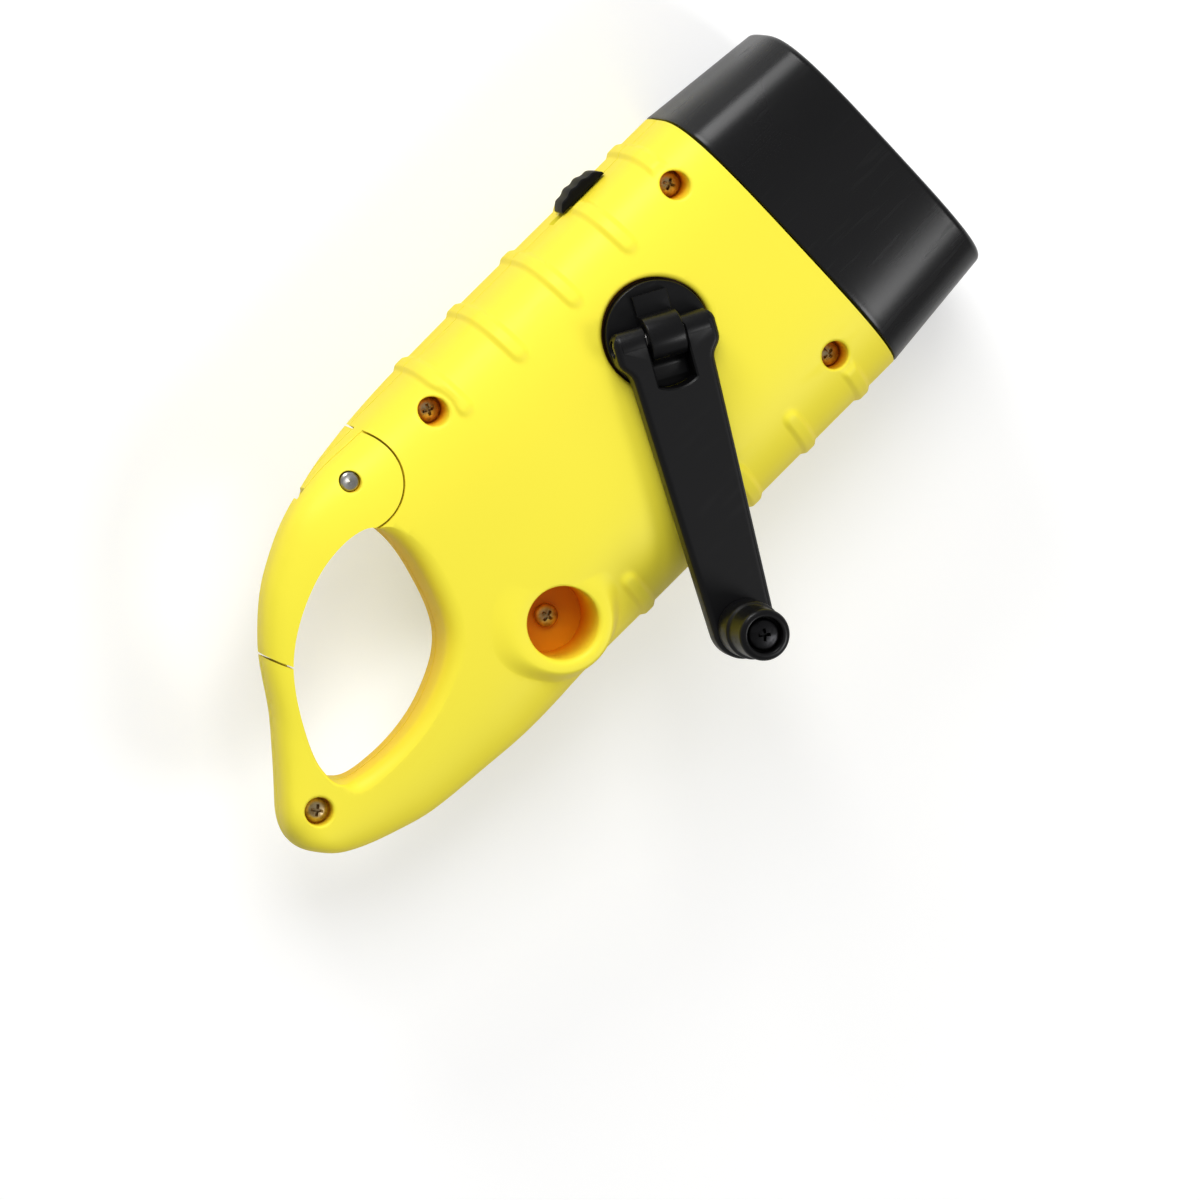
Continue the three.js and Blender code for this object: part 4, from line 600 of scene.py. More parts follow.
def hole_cutter(name, place, radius, floor, edge=HOLE_EDGE, sides=72):
    """A round hole from its floor to the skin, with a rounded mouth."""
    rim = round_ways(sides)

    def ring(out, height=None, depth=0.0):
        plan = np.asarray(place) + (radius + out) * rim
        z = skin_height(SEAM_X - plan[:, 0], plan[:, 1]) - depth + EDGE_LIFT
        return np.column_stack([plan, z if height is None else np.full(sides, height)])

    rows = [ring(0, floor)]
    rows += [ring(out, depth=depth) for out, depth in quarter(edge)]
    rows.append(ring(edge, ABOVE))
    return lofted(name, rows)


gate_pin = place_of(GATE_PIN_SHARES)
gate_line = place_of(GATE_TIP_SHARES) - gate_pin
gate_reach = float(np.hypot(*gate_line))
gate_bearing = math.degrees(math.atan2(gate_line[1], gate_line[0]))


def at_height(outline, height):
    """An outline in plan, lifted to a height."""
    return np.column_stack([outline, np.full(len(outline), height)])


def sector(name, radius, bearings, low, high, inner=0.0, count=60):
    """A slice of a disc or of a ring about the gate's pin."""
    angle = np.radians(gate_bearing + np.linspace(*bearings, count))
    way = np.stack([np.cos(angle), np.sin(angle)], -1)
    outer = gate_pin + radius * way
    back = gate_pin + inner * way[::-1] if inner else gate_pin[None]
    outline = np.vstack([outer, back])
    rings = [at_height(outline, z) for z in (low, high)]
    middle = (outer[count // 2] + (gate_pin if not inner else back[count // 2])) / 2
    return lofted(name, rings, [(*middle, low), (*middle, high)])


def gate_region(grown):
    """Plan of the gate: the disc round its pin joined to its sector."""
    disc = rod("gate_disc", GATE_DISC_RADIUS + grown, -OVERRUN, ABOVE, gate_pin, GATE_SIDES)
    arm = sector("gate_sector", gate_reach + grown, GATE_SECTOR, -OVERRUN, ABOVE)
    return carve(disc, "UNION", arm)


# Moulded plastic finish. A node group gives every moulded piece its fine grain,
# slow mottling of the colour and small handling scuffs, each in real size. From a
# depth stored on the points it also paints shade down holes and recesses.
def group_of(name, inputs, outputs):
    """A shader node group with named inputs and outputs."""
    tree = bpy.data.node_groups.new(name, "ShaderNodeTree")
    for label, kind, value in inputs:
        socket = tree.interface.new_socket(label, in_out="INPUT", socket_type=kind)
        socket.default_value = value
    for label, kind in outputs:
        tree.interface.new_socket(label, in_out="OUTPUT", socket_type=kind)
    return tree, tree.nodes.new("NodeGroupInput"), tree.nodes.new("NodeGroupOutput")


def node(tree, kind, links=None, **settings):
    """A node with its settings, its plain input values and its links."""
    made = tree.nodes.new(kind)
    for key, value in settings.items():
        setattr(made, key, value)
    for key, value in (links or {}).items():
        if isinstance(value, bpy.types.NodeSocket):
            tree.links.new(value, made.inputs[key])
        else:
            made.inputs[key].default_value = value
    return made


def blend(tree, factor, first, second, way="MIX"):
    """Colour of a Mix node, whose sockets 6 and 7 take colours and 2 puts one out."""
    values = {0: factor, 6: first, 7: second}
    return node(tree, "ShaderNodeMix", values, data_type="RGBA", blend_type=way).outputs[2]


def maths(tree, operation, *values, clamp=False):
    """Value of a Math node over numbers and sockets."""
    values = dict(enumerate(values))
    made = node(tree, "ShaderNodeMath", values, operation=operation, use_clamp=clamp)
    return made.outputs["Value"]


def ramp(tree, factor, stops):
    """A colour ramp with the given (place, grey or colour) stops."""
    made = node(tree, "ShaderNodeValToRGB", {"Fac": factor})
    elements = made.color_ramp.elements
    while len(elements) < len(stops):
        elements.new(0.5)
    for element, (place, colour) in zip(elements, stops):
        element.position = place
        element.color = (*colour, 1) if isinstance(colour, tuple) else (colour,) * 3 + (1,)
    return made


COLOUR, NUMBER = "NodeSocketColor", "NodeSocketFloat"
moulded, moulded_in, moulded_out = group_of(
    "moulded_skin",
    [
        ("Colour", COLOUR, (1, 1, 1, 1)), ("Mottle And Shade Colour", COLOUR, (0.5, 0.5, 0.5, 1)),
        ("Depth", NUMBER, 0.0), ("Mottle", NUMBER, 0.04), ("Grain Size", NUMBER, 2200.0),
        ("Roughness", NUMBER, 0.35), ("Scuffs", NUMBER, 0.1),
    ],
    [("Colour", COLOUR), ("Roughness", NUMBER), ("Height", NUMBER)],
)
at = node(moulded, "ShaderNodeTexCoord").outputs["Object"]
slow = node(moulded, "ShaderNodeTexNoise", {"Vector": at, "Scale": 34.0, "Detail": 3.0})
grain = node(moulded, "ShaderNodeTexNoise", {
    "Vector": at, "Scale": moulded_in.outputs["Grain Size"], "Detail": 4.0,
})
stretch = node(moulded, "ShaderNodeMapping", {
    "Vector": at, "Scale": (90, 900, 400), "Rotation": (0.3, 0.5, 0.9),
})
scratch = node(moulded, "ShaderNodeTexNoise", {
    "Vector": stretch.outputs["Vector"], "Scale": 1.0, "Detail": 5.0,
})
scratch_mask = ramp(moulded, scratch.outputs["Fac"], [(0.58, 0.0), (0.72, 1.0)])
shade = node(moulded, "ShaderNodeMapRange", {
    "Value": slow.outputs["Fac"], "From Min": 0.3, "From Max": 0.7,
    "To Min": 0.0, "To Max": moulded_in.outputs["Mottle"],
})
plain, mottle_and_shade_colour, depth = (moulded_in.outputs[key] for key in ("Colour", "Mottle And Shade Colour", "Depth"))
mottled = blend(moulded, shade.outputs["Result"], plain, mottle_and_shade_colour)
# Painted shade: the stored depth turns the colour deep orange up to 0.5, then dims it to near black.
painted_shade_share = node(moulded, "ShaderNodeMapRange", {"Value": depth, "From Max": 0.5})
painted_shade_colour = blend(moulded, painted_shade_share.outputs["Result"], mottled, mottle_and_shade_colour)
painted_shade_dimming = node(moulded, "ShaderNodeMapRange", {
    "Value": depth, "From Min": 0.5, "To Min": 1.0, "To Max": 0.06,
})
painted_shade_dimmed = node(moulded, "ShaderNodeVectorMath", {
    0: painted_shade_colour, "Scale": painted_shade_dimming.outputs["Result"],
}, operation="SCALE")
worn = maths(moulded, "MULTIPLY", scratch_mask.outputs["Color"], moulded_in.outputs["Scuffs"])
uneven = maths(moulded, "MULTIPLY_ADD", slow.outputs["Fac"], 0.12, moulded_in.outputs["Roughness"])
rough = maths(moulded, "ADD", worn, uneven, clamp=True)
height = maths(moulded, "MULTIPLY_ADD", worn, -0.6, grain.outputs["Fac"])
moulded.links.new(painted_shade_dimmed.outputs["Vector"], moulded_out.inputs["Colour"])
moulded.links.new(rough, moulded_out.inputs["Roughness"])
moulded.links.new(height, moulded_out.inputs["Height"])


def finish(name, **sockets):
    """A material whose Principled shader has these plain socket values."""
    made = bpy.data.materials.new(name)
    made.use_nodes = True
    shader = made.node_tree.nodes["Principled BSDF"]
    for key, value in sockets.items():
        shader.inputs[key.replace("_", " ")].default_value = value
    return made, made.node_tree, shader


def bumped(tree, shader, height, strength, distance):
    """Feeds a height through a Bump node into the shader's normal."""
    values = {"Height": height, "Strength": strength, "Distance": distance * MM}
    bump = node(tree, "ShaderNodeBump", values)
    tree.links.new(bump.outputs["Normal"], shader.inputs["Normal"])


def plastic(name, colour, mottle_and_shade_colour, rough, grain_size, scuffs, mottle, bump, edge_shade_tint=None, **sockets):
    """Moulded plastic: the shared skin group in front of the shader.

    With an edge shade tint, the piece gets painted shade: a warmer, darker colour
    where it turns away at grazing angles, and the shade stored on its points in holes.
    """
    made, tree, shader = finish(name, **sockets)
    skin = node(tree, "ShaderNodeGroup", node_tree=moulded)
    values = {
        "Colour": (*colour, 1), "Mottle And Shade Colour": (*mottle_and_shade_colour, 1), "Mottle": mottle,
        "Grain Size": grain_size, "Roughness": rough, "Scuffs": scuffs,
    }
    for key, value in values.items():
        skin.inputs[key].default_value = value
    colour_out = skin.outputs["Colour"]
    if edge_shade_tint:
        # The points' stored depth: painted shade in holes and recesses.
        mask = node(tree, "ShaderNodeAttribute", attribute_name="depth")
        tree.links.new(mask.outputs["Fac"], skin.inputs["Depth"])
        # Painted shade at grazing edges: the colour is multiplied towards the tint as the face turns away.
        painted_edge_shade = node(tree, "ShaderNodeLayerWeight", {"Blend": 0.35})
        colour_out = blend(tree, painted_edge_shade.outputs["Facing"], colour_out, (*edge_shade_tint, 1), "MULTIPLY")
    tree.links.new(colour_out, shader.inputs["Base Color"])
    tree.links.new(skin.outputs["Roughness"], shader.inputs["Roughness"])
    bumped(tree, shader, skin.outputs["Height"], bump, distance=0.05)
    return made


# The deep orange serves both the mottle and the painted shade in holes; the edge tint paints shade at
# grazing edges.
YELLOW = (0.97, 0.86, 0.055)
SHADE_AND_MOTTLE_YELLOW = (0.93, 0.36, 0.006)
PAINTED_EDGE_SHADE_TINT = (1.0, 0.9, 0.55)
yellow_plastic = plastic(
    "yellow_plastic", YELLOW, SHADE_AND_MOTTLE_YELLOW, rough=0.4, grain_size=2600, scuffs=0.1,
    mottle=0.03, bump=0.05, edge_shade_tint=PAINTED_EDGE_SHADE_TINT, Specular_IOR_Level=0.3,
)


def mark_painted_shade(piece, shade_at):
    """Stores the painted shade of each point as its depth, from 0 on the skin to 1 deep in a hole."""
    count = len(piece.data.vertices)
    points = np.empty(count * 3)
    piece.data.vertices.foreach_get("co", points)
    values = np.clip(shade_at(points.reshape(-1, 3) / MM), 0, 1)
    piece.data.attributes.new("depth", "FLOAT", "POINT").data.foreach_set("value", values)


# Places that both shells share: the crank's hub, the knob's recess, the screws,
# and the hollow of the body with the pads and bosses left standing in it.
HUB_PLACE_SHARES = (0.2112, -0.2295)
HUB_SEAT_RADIUS = 8.3
HUB_SEAT_DEPTH = 2.0
HUB_PAD = 3.0
ARM_LENGTH = 43.3
RECESS_INSET = 9.67
RECESS_RADIUS = 5.3
RECESS_DEPTH = 12.1
RECESS_EDGES = (0.3, 1.0)
RECESS_RIM_WIDTH = 1.7
RECESS_RIM_LIFT = -0.12
RECESS_FEET = (2.0, 4.0)
SCREW_HOLE_DEPTH = 5.8
TAIL_SCREW_HOLE_DEPTH = 3.4
SHANK_RADIUS = 0.95
SHANK_LENGTHS = [16.0, 16.0, 16.0, 5.6, 8.4]
BOSS_WALL = 1.6
CAVITY_WEB = 1.0
CAVITY_RINGS, CAVITY_SIDES = 24, 80
TONGUE_REACH = 1.6
TONGUE_HALF_HEIGHT = 1.8
TONGUE_BEARINGS = (-1.9, 1.9)
POCKET_BEARINGS = (-2.7, 18.5)
STEM_HALF_LENGTH = 2.0
STEM_HALF_HEIGHT = 1.0
hub_place = place_of(HUB_PLACE_SHARES)
recess_y = RECESS_INSET - BODY_HALF_WIDTH
recess_place = np.array([
    hub_place[0] - math.sqrt(ARM_LENGTH ** 2 - (hub_place[1] - recess_y) ** 2), recess_y,
])
recess_face = float(face_height(SEAM_X - recess_place[0]))
recess_top = recess_face + RECESS_RIM_LIFT
recess_floor = recess_face - RECESS_DEPTH
screw_places = [*hole_places, recess_place]
hole_depths = [SCREW_HOLE_DEPTH] * 3 + [TAIL_SCREW_HOLE_DEPTH]
screw_seats = [
    float(skin_height(SEAM_X - place[0], place[1])) - depth
    for place, depth in zip(screw_places, hole_depths)
] + [recess_floor]


def hollow(*posts):
    """The room inside the shells, less the posts that stand in it."""
    end = SEAM_X - gate_pin[0] - GATE_DISC_RADIUS - CAVITY_WEB
    angles = even_angles(CAVITY_SIDES, BODY_HALF_WIDTH / PARTING_HEIGHT)
    rings = body_rings(np.linspace(-OVERRUN, end, CAVITY_RINGS), WALL, angles)
    room = carve(lofted("room", rings), "INTERSECT", above(WALL))
    return carve(room, "DIFFERENCE", *posts)


def pocket():
    """Room for the gate's tongue in the nose of the hook."""
    tall = TONGUE_HALF_HEIGHT + GAP
    reach = gate_reach + TONGUE_REACH + 2 * GAP
    low, high = TAIL_PARTING - tall, TAIL_PARTING + tall
    return sector("pocket", reach, POCKET_BEARINGS, low, high, gate_reach - OVERRUN)


def switch_slot():
    """The slot in the shells' edge for the stem of the switch."""
    half, tall = STEM_HALF_LENGTH + GAP, STEM_HALF_HEIGHT + GAP
    low = (switch_x - SWITCH_TRAVEL - half, BODY_HALF_WIDTH - 2 * WALL, PARTING_HEIGHT - tall)
    high = (switch_x + half, BODY_HALF_WIDTH + OVERRUN, PARTING_HEIGHT + tall)
    return block("slot", low, high)


form = whole_form()
eye = eye_cutter()
gate_room = gate_region(GAP / 2)

# Solar-side shell: yellow ABS, moulded with screw bosses, four posts for the
# gear plate and a stepped window for the solar cell. It lies on the table.
EYE_DEPTH_SHADE = 0.16
EYE_DEPTH_FADE = 6.0
EYE_CHORD = 0.4
PANEL_START = 6.0
PANEL_LENGTH = 36.5
PANEL_WIDTH = 27.0
PANEL_CORNER = 2.5
PANEL_SINK = 0.25
PANEL_THICKNESS = 0.7
PANEL_LEDGE = 1.2
POST_RADIUS = 2.1
PLATE_HUB_ROOM = 19.2
PLATE_LENGTH = 32.0
PLATE_SIDE_ROOM = 7.4
PLATE_BOTTOM = 15.0
POST_SHARES = [(0.09, 0.06), (0.88, 0.08), (0.09, 0.94), (0.88, 0.94)]
PLATE_SCREW_RADIUS = 0.8
PLATE_PILOT_FLOOR = 10.1
BOSS_SIDES, PILOT_SIDES = 40, 24
plate_width = 2 * (BODY_HALF_WIDTH - PLATE_SIDE_ROOM)
post_places = [
    (hub_place[0] - PLATE_HUB_ROOM + a * PLATE_LENGTH, (b - 0.5) * plate_width)
    for a, b in POST_SHARES
]


def near_eye(points, reach):
    """Which points lie on the body's side of the eye, up to reach from it."""
    outline = eye_outline()
    turn = ease(normals_of(outline) @ EYE_BODY_WAY, *EYE_EDGE_TURN)
    gap = np.linalg.norm(points[:, None, :2] - outline[None], axis=2)
    return turn[gap.argmin(1)] * (gap.min(1) < reach + EYE_CHORD)


def rounded_outline(low, high, radius, turns=8):
    """A rectangle with round corners, anticlockwise from its low right one."""
    left, near, right, far = low[0] + radius, low[1] + radius, high[0] - radius, high[1] - radius
    rows = []
    for x, y, start in ((right, near, -90), (right, far, 0), (left, far, 90), (left, near, 180)):
        angle = np.radians(start + np.linspace(0, 90, turns))
        rows.append(np.stack([x + radius * np.cos(angle), y + radius * np.sin(angle)], -1))
    return np.vstack(rows)


def rounded_prism(name, outline, low, high, low_edge=0.0, high_edge=0.0, turns=5, core=None):
    """An outline raised along Z, with its edges rounded by drawn-in rings.

    The caps meet in the core, or else in the middle of their outlines.
    """
    low_rims, high_rims = quarter(low_edge, turns)[::-1], quarter(high_edge, turns)
    rows = [at_height(spread(outline, -out), low + depth) for out, depth in low_rims]
    rows += [at_height(spread(outline, -out), high - depth) for out, depth in high_rims]
    return lofted(name, rows, core and [(*core, low), (*core, high)])


def panel_prism(name, inset, low, high, edge=0.0):
    """The solar window's rectangle, drawn in by inset."""
    half = PANEL_WIDTH / 2 - inset
    corners = (to_x(PANEL_START + PANEL_LENGTH) + inset, -half), (to_x(PANEL_START) - inset, half)
    return rounded_prism(name, rounded_outline(*corners, PANEL_CORNER), low, high, edge)


def lower_boss(place):
    """A boss from the solar side to the parting line or the knob's recess."""
    top = float(parting_height(SEAM_X - place[0])) - GAP / 2
    if place is recess_place:
        top = min(top, recess_floor - WALL - GAP)
    return rod("boss", SHANK_RADIUS + GAP + BOSS_WALL, -OVERRUN, top, place, BOSS_SIDES)


lower_bosses = [lower_boss(place) for place in screw_places]
lower_posts = [
    rod("post", POST_RADIUS, -OVERRUN, PLATE_BOTTOM - GAP, place, BOSS_SIDES)
    for place in post_places
]
recess_room = RECESS_RADIUS + RECESS_RIM_WIDTH + GAP
solar_shell = carve(twin(form), "INTERSECT", half_space(False))
solar_shell = carve(
    solar_shell, "DIFFERENCE", hollow(*lower_bosses, *lower_posts), twin(gate_room), twin(eye),
    panel_prism("window_room", 0, -OVERRUN, PANEL_SINK + PANEL_THICKNESS + GAP),
    panel_prism("cell_room", PANEL_LEDGE, -OVERRUN, WALL + OVERRUN),
    *(
        rod("pilot", SHANK_RADIUS + GAP, seat - length - GAP, ABOVE, place, PILOT_SIDES)
        for place, seat, length in zip(screw_places, screw_seats, SHANK_LENGTHS)
    ),
    *(
        rod("plate_pilot", PLATE_SCREW_RADIUS + GAP, PLATE_PILOT_FLOOR, ABOVE, place, PILOT_SIDES)
        for place in post_places
    ),
    rod("recess_room", recess_room, recess_floor - WALL - GAP, ABOVE, recess_place),
    pocket(), switch_slot(),
)
solar_shell.name = "solar_side_shell_moulded"
# Painted shade on the walls of the hook's eye.
mark_painted_shade(solar_shell, lambda points: EYE_DEPTH_SHADE * near_eye(points, EDGE_LIFT))
fitted(solar_shell, yellow_plastic, "housing", "yellow_plastic", "solar_side_shell")

# Crank-side shell: yellow ABS. It carries the hub's seat, the tube for the
# folded knob with its raised rim, the screw holes and the lug of the gate.
GATE_PIN_RADIUS = 1.35
LUG_RADIUS = 5.8
LUG_LOW, LUG_HIGH = 20.7, 24.3
LUG_BEARINGS = (-75.0, 75.0)
RECESS_SIDES = 144
RECESS_FOOT_TURN = (-0.6, 0.4)
RECESS_FOOT_STEPS = 12
RECESS_EDGE_TURN = (-0.6, 0.9)
SEAT_EDGE = 0.9
SEAT_CLOSE = 0.25
SHAFT_ROOM_RADIUS = 4.0
SHADE_REACH = 0.1
RECESS_SHADE, SEAT_SHADE, HOLE_SHADE = (11.0, 0.55), (0.8, 1.0), (5.0, 0.6)
seat_floor = BODY_THICKNESS - HUB_SEAT_DEPTH
recess_rim = round_ways(RECESS_SIDES)


def recess_boss():
    """The recess's tube, whose foot eases from the skin to the rim's top.

    The foot is longest on the gate's side, where the rim ends up flush.
    """
    outer = RECESS_RADIUS + RECESS_RIM_WIDTH
    short, long = RECESS_FEET
    foot = short + (long - short) * ease(recess_rim[:, 1], *RECESS_FOOT_TURN)

    def ring(out, share, drop=EDGE_LIFT):
        plan = recess_place + (outer + foot * out)[:, None] * recess_rim
        skin = skin_height(SEAM_X - plan[:, 0], plan[:, 1]) - drop
        return np.column_stack([plan, skin + (recess_top - skin) * share])

    base = ring(0, 0)
    base[:, 2] = recess_floor - WALL
    rows = [base, ring(1, 0, WALL / 2)]
    rows += [ring(1 - t, ease(t, 0, 1)) for t in np.linspace(0, 1, RECESS_FOOT_STEPS)]
    return lofted("recess_boss", rows)


def recess_cutter():
    """The room for the knob. Its mouth is rounded most on the back side."""
    sharp, soft = RECESS_EDGES
    edge = sharp + (soft - sharp) * ease(-recess_rim[:, 1], *RECESS_EDGE_TURN)
    level = np.zeros(RECESS_SIDES)

    def ring(out, height):
        return np.column_stack([recess_place + (RECESS_RADIUS + out)[:, None] * recess_rim, height])

    rows = [ring(level, level + recess_floor)]
    rows += [ring(edge * out, recess_top + EDGE_LIFT - edge * depth) for out, depth in quarter(1)]
    return lofted("recess", [*rows, ring(edge, level + ABOVE)])


def upper_boss(place):
    """A boss round a screw hole, from the parting line to the face."""
    low = float(parting_height(SEAM_X - place[0])) + GAP / 2
    return rod("boss", SCREW_HOLE_RADIUS + BOSS_WALL, low, ABOVE, place, BOSS_SIDES)


def gate_lug():
    """The lug that the gate's two ears hold: a disc on a web from the body."""
    bearings = [bearing - gate_bearing for bearing in LUG_BEARINGS]
    web = sector("web", GATE_DISC_RADIUS + GAP + OVERRUN, bearings, LUG_LOW, LUG_HIGH)
    lug = carve(rod("lug", LUG_RADIUS, LUG_LOW, LUG_HIGH, gate_pin), "UNION", web)
    return carve(lug, "INTERSECT", twin(form))


seat_pad = rod("pad", HUB_SEAT_RADIUS + WALL, seat_floor - HUB_PAD, ABOVE, hub_place)
crank_shell = carve(twin(form), "INTERSECT", half_space(True))
crank_shell = carve(
    crank_shell, "DIFFERENCE", hollow(seat_pad, *(upper_boss(place) for place in hole_places)),
)
crank_shell = carve(crank_shell, "UNION", recess_boss())
crank_shell = carve(crank_shell, "DIFFERENCE", twin(gate_room), twin(eye))
crank_shell = carve(crank_shell, "UNION", gate_lug())
crank_shell = carve(
    crank_shell, "DIFFERENCE", recess_cutter(),
    hole_cutter("seat", hub_place, HUB_SEAT_RADIUS - SEAT_CLOSE, seat_floor, SEAT_EDGE, sides=144),
    rod("shaft_room", SHAFT_ROOM_RADIUS, PARTING_HEIGHT, ABOVE, hub_place),
    *(
        hole_cutter("hole", place, SCREW_HOLE_RADIUS, seat)
        for place, seat in zip(hole_places, screw_seats)
    ),
    *(
        rod("shank_room", SHANK_RADIUS + GAP, 0, ABOVE, place, PILOT_SIDES)
        for place in screw_places
    ),
    rod("pin_room", GATE_PIN_RADIUS + GAP, 0, ABOVE, gate_pin, BOSS_SIDES),
    pocket(), switch_slot(),
)
crank_shell.name = "crank_side_shell_moulded"


def painted_hole_shade(points):
    """Painted shade of the crank shell: recess, screw holes, hub seat and the eye's wall.

    Each grows with the depth under its mouth, over a length up to a most.
    """
    shade = np.zeros(len(points))
    rows = [(recess_place, RECESS_RADIUS, recess_top - RECESS_EDGES[1], *RECESS_SHADE)]
    rows += [(hub_place, HUB_SEAT_RADIUS, BODY_THICKNESS - SEAT_EDGE, *SEAT_SHADE)]
    rows += [
        (place, SCREW_HOLE_RADIUS, seat + depth - HOLE_EDGE, *HOLE_SHADE)
        for place, seat, depth in zip(hole_places, screw_seats, hole_depths)
    ]
    for place, radius, top, fade, most in rows:
        away = np.hypot(points[:, 0] - place[0], points[:, 1] - place[1])
        depth = np.clip((top - points[:, 2]) / fade, 0, 1)
        shade = np.maximum(shade, most * depth * (away < radius + SHADE_REACH))
    under = face_height(SEAM_X - points[:, 0]) - points[:, 2]
    wall = near_eye(points, EYE_BODY_EDGE) * np.clip(under / EYE_DEPTH_FADE, 0, 1)
    return np.maximum(shade, EYE_DEPTH_SHADE * wall)


# Painted shade: deep orange turning near black down the recess, holes and hub seat.
mark_painted_shade(crank_shell, painted_hole_shade)
fitted(crank_shell, yellow_plastic, "housing", "yellow_plastic", "crank_side_shell")

# Hook gate: yellow ABS, cut from the same form. Two ears hold the pin round the
# shell's lug, and a tongue at its tip closes in the nose of the hook.
PIN_GAP = 0.15
PIN_MOUTH = 0.25
PIN_SINK = 0.4
SPRING_ROOM_RADIUS = 2.5
SPRING_ROOM_FLOOR = 18.1
gate = carve(twin(form), "INTERSECT", gate_region(-GAP / 2))
gate = carve(gate, "DIFFERENCE", twin(eye))
tongue_levels = TAIL_PARTING - TONGUE_HALF_HEIGHT, TAIL_PARTING + TONGUE_HALF_HEIGHT
gate = carve(gate, "UNION", sector(
    "tongue", gate_reach + TONGUE_REACH, TONGUE_BEARINGS, *tongue_levels, gate_reach - OVERRUN,
))
gate = carve(
    gate, "DIFFERENCE",
    rod("lug_room", GATE_DISC_RADIUS, LUG_LOW - GAP, LUG_HIGH + GAP, gate_pin, GATE_SIDES),
    hole_cutter("pin_room", gate_pin, GATE_PIN_RADIUS + PIN_GAP, 0, PIN_MOUTH, sides=64),
    rod("spring_room", SPRING_ROOM_RADIUS, SPRING_ROOM_FLOOR, LUG_LOW, gate_pin, BOSS_SIDES),
)
gate.name = "hook_gate_moulded"
pin_s = SEAM_X - gate_pin[0]


def painted_pin_shade(points):
    """Painted shade down the pin's holes in the gate."""
    x, y, z = points.T
    near = np.hypot(x - gate_pin[0], y - gate_pin[1]) < GATE_PIN_RADIUS + PIN_GAP + EDGE_LIFT
    over = skin_height(SEAM_X - x, y) - z
    under = z - skin_height(SEAM_X - x, y, upper=False)
    return near * (np.minimum(over, under) - PIN_MOUTH) / PIN_SINK


mark_painted_shade(gate, painted_pin_shade)
fitted(gate, yellow_plastic, "gate_body", "yellow_plastic", "hook_gate")
for tool in (form, eye, gate_room):
    bpy.data.objects.remove(tool)

# Metal finishes. One node group gives plated or bright steel its fine turning
# lines, cloudy plating and darker specks. Screws, pins and springs share it.
metal, metal_in, metal_out = group_of(
    "metal_skin",
    [
        ("Colour", COLOUR, (1, 1, 1, 1)), ("Dark Colour", COLOUR, (0.5, 0.5, 0.5, 1)),
        ("Roughness", NUMBER, 0.3), ("Lines", NUMBER, 5000.0),
    ],
    [("Colour", COLOUR), ("Roughness", NUMBER), ("Height", NUMBER)],
)
at = node(metal, "ShaderNodeTexCoord").outputs["Object"]
cloud = node(metal, "ShaderNodeTexNoise", {"Vector": at, "Scale": 900.0, "Detail": 4.0})
turning = node(metal, "ShaderNodeTexWave", {
    "Vector": at, "Scale": metal_in.outputs["Lines"], "Distortion": 2.0, "Detail": 2.0,
}, bands_direction="Z")
stain = ramp(metal, cloud.outputs["Fac"], [(0.42, 0.0), (0.66, 1.0)]).outputs["Color"]
plated = blend(metal, stain, metal_in.outputs["Colour"], metal_in.outputs["Dark Colour"])
dull = maths(metal, "MULTIPLY_ADD", stain, 0.15, metal_in.outputs["Roughness"])
metal.links.new(plated, metal_out.inputs["Colour"])
metal.links.new(dull, metal_out.inputs["Roughness"])
metal.links.new(turning.outputs["Fac"], metal_out.inputs["Height"])


def metal_finish(name, colour, dark, rough, bump=0.04, **sockets):
    """A metal material: the shared plating group in front of the shader."""
    made, tree, shader = finish(name, Metallic=1.0, **sockets)
    skin = node(tree, "ShaderNodeGroup", node_tree=metal)
    skin.inputs["Colour"].default_value = (*colour, 1)
    skin.inputs["Dark Colour"].default_value = (*dark, 1)
    skin.inputs["Roughness"].default_value = rough
    tree.links.new(skin.outputs["Colour"], shader.inputs["Base Color"])
    tree.links.new(skin.outputs["Roughness"], shader.inputs["Roughness"])
    bumped(tree, shader, skin.outputs["Height"], bump, distance=0.02)
    return made


def paint(made, *names):
    """Gives nodes of the CAD frame their finish."""
    for name in names:
        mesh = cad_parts[name].data
        mesh.materials.clear()
        mesh.materials.append(made)


steel = metal_finish("bright_steel", (0.62, 0.61, 0.59), (0.42, 0.41, 0.4), rough=0.28)
zinc_steel = metal_finish("yellow_zinc_steel", (0.66, 0.52, 0.3), (0.36, 0.25, 0.12), rough=0.3)
black_steel = metal_finish("black_oxide_steel", (0.03, 0.03, 0.032), (0.015, 0.015, 0.016), rough=0.3)

# Shell screws: five pan-head screws with a cross recess, zinc plated. Four sit
# deep in the crank shell's holes and one at the bottom of the knob's recess.
SCREW_HEAD_RADIUS = 1.7
SCREW_HEAD_HEIGHT = 1.5
SCREW_CROWN = 0.55
CROSS_LENGTH, CROSS_WIDTH, CROSS_DEPTH = 1.9, 0.45, 0.7
CROSS_TAPER = 0.5
SCREW_HEAD_CHAMFER = 0.1
SCREW_TURN, SCREW_TURN_STEP = 0.5, 1.1
THREAD_PITCH = 0.8
THREAD_DEPTH = 0.18


def cross_cutter(place, top, turn):
    """A cross that narrows with its depth, as a screwdriver's tip does."""
    half, thin = CROSS_LENGTH / 2, CROSS_WIDTH / 2
    arm = np.array([(half, -thin), (half, thin), (thin, thin)])
    rows = []
    for k in range(4):
        angle = turn + k * math.pi / 2
        way = np.array([(math.cos(angle), math.sin(angle)), (-math.sin(angle), math.cos(angle))])
        rows.append(arm @ way)
    star = np.vstack(rows)
    levels = [(CROSS_TAPER, top - CROSS_DEPTH), (1, top), (1, top + OVERRUN)]
    return lofted("cross", [at_height(place + star * scale, z) for scale, z in levels])


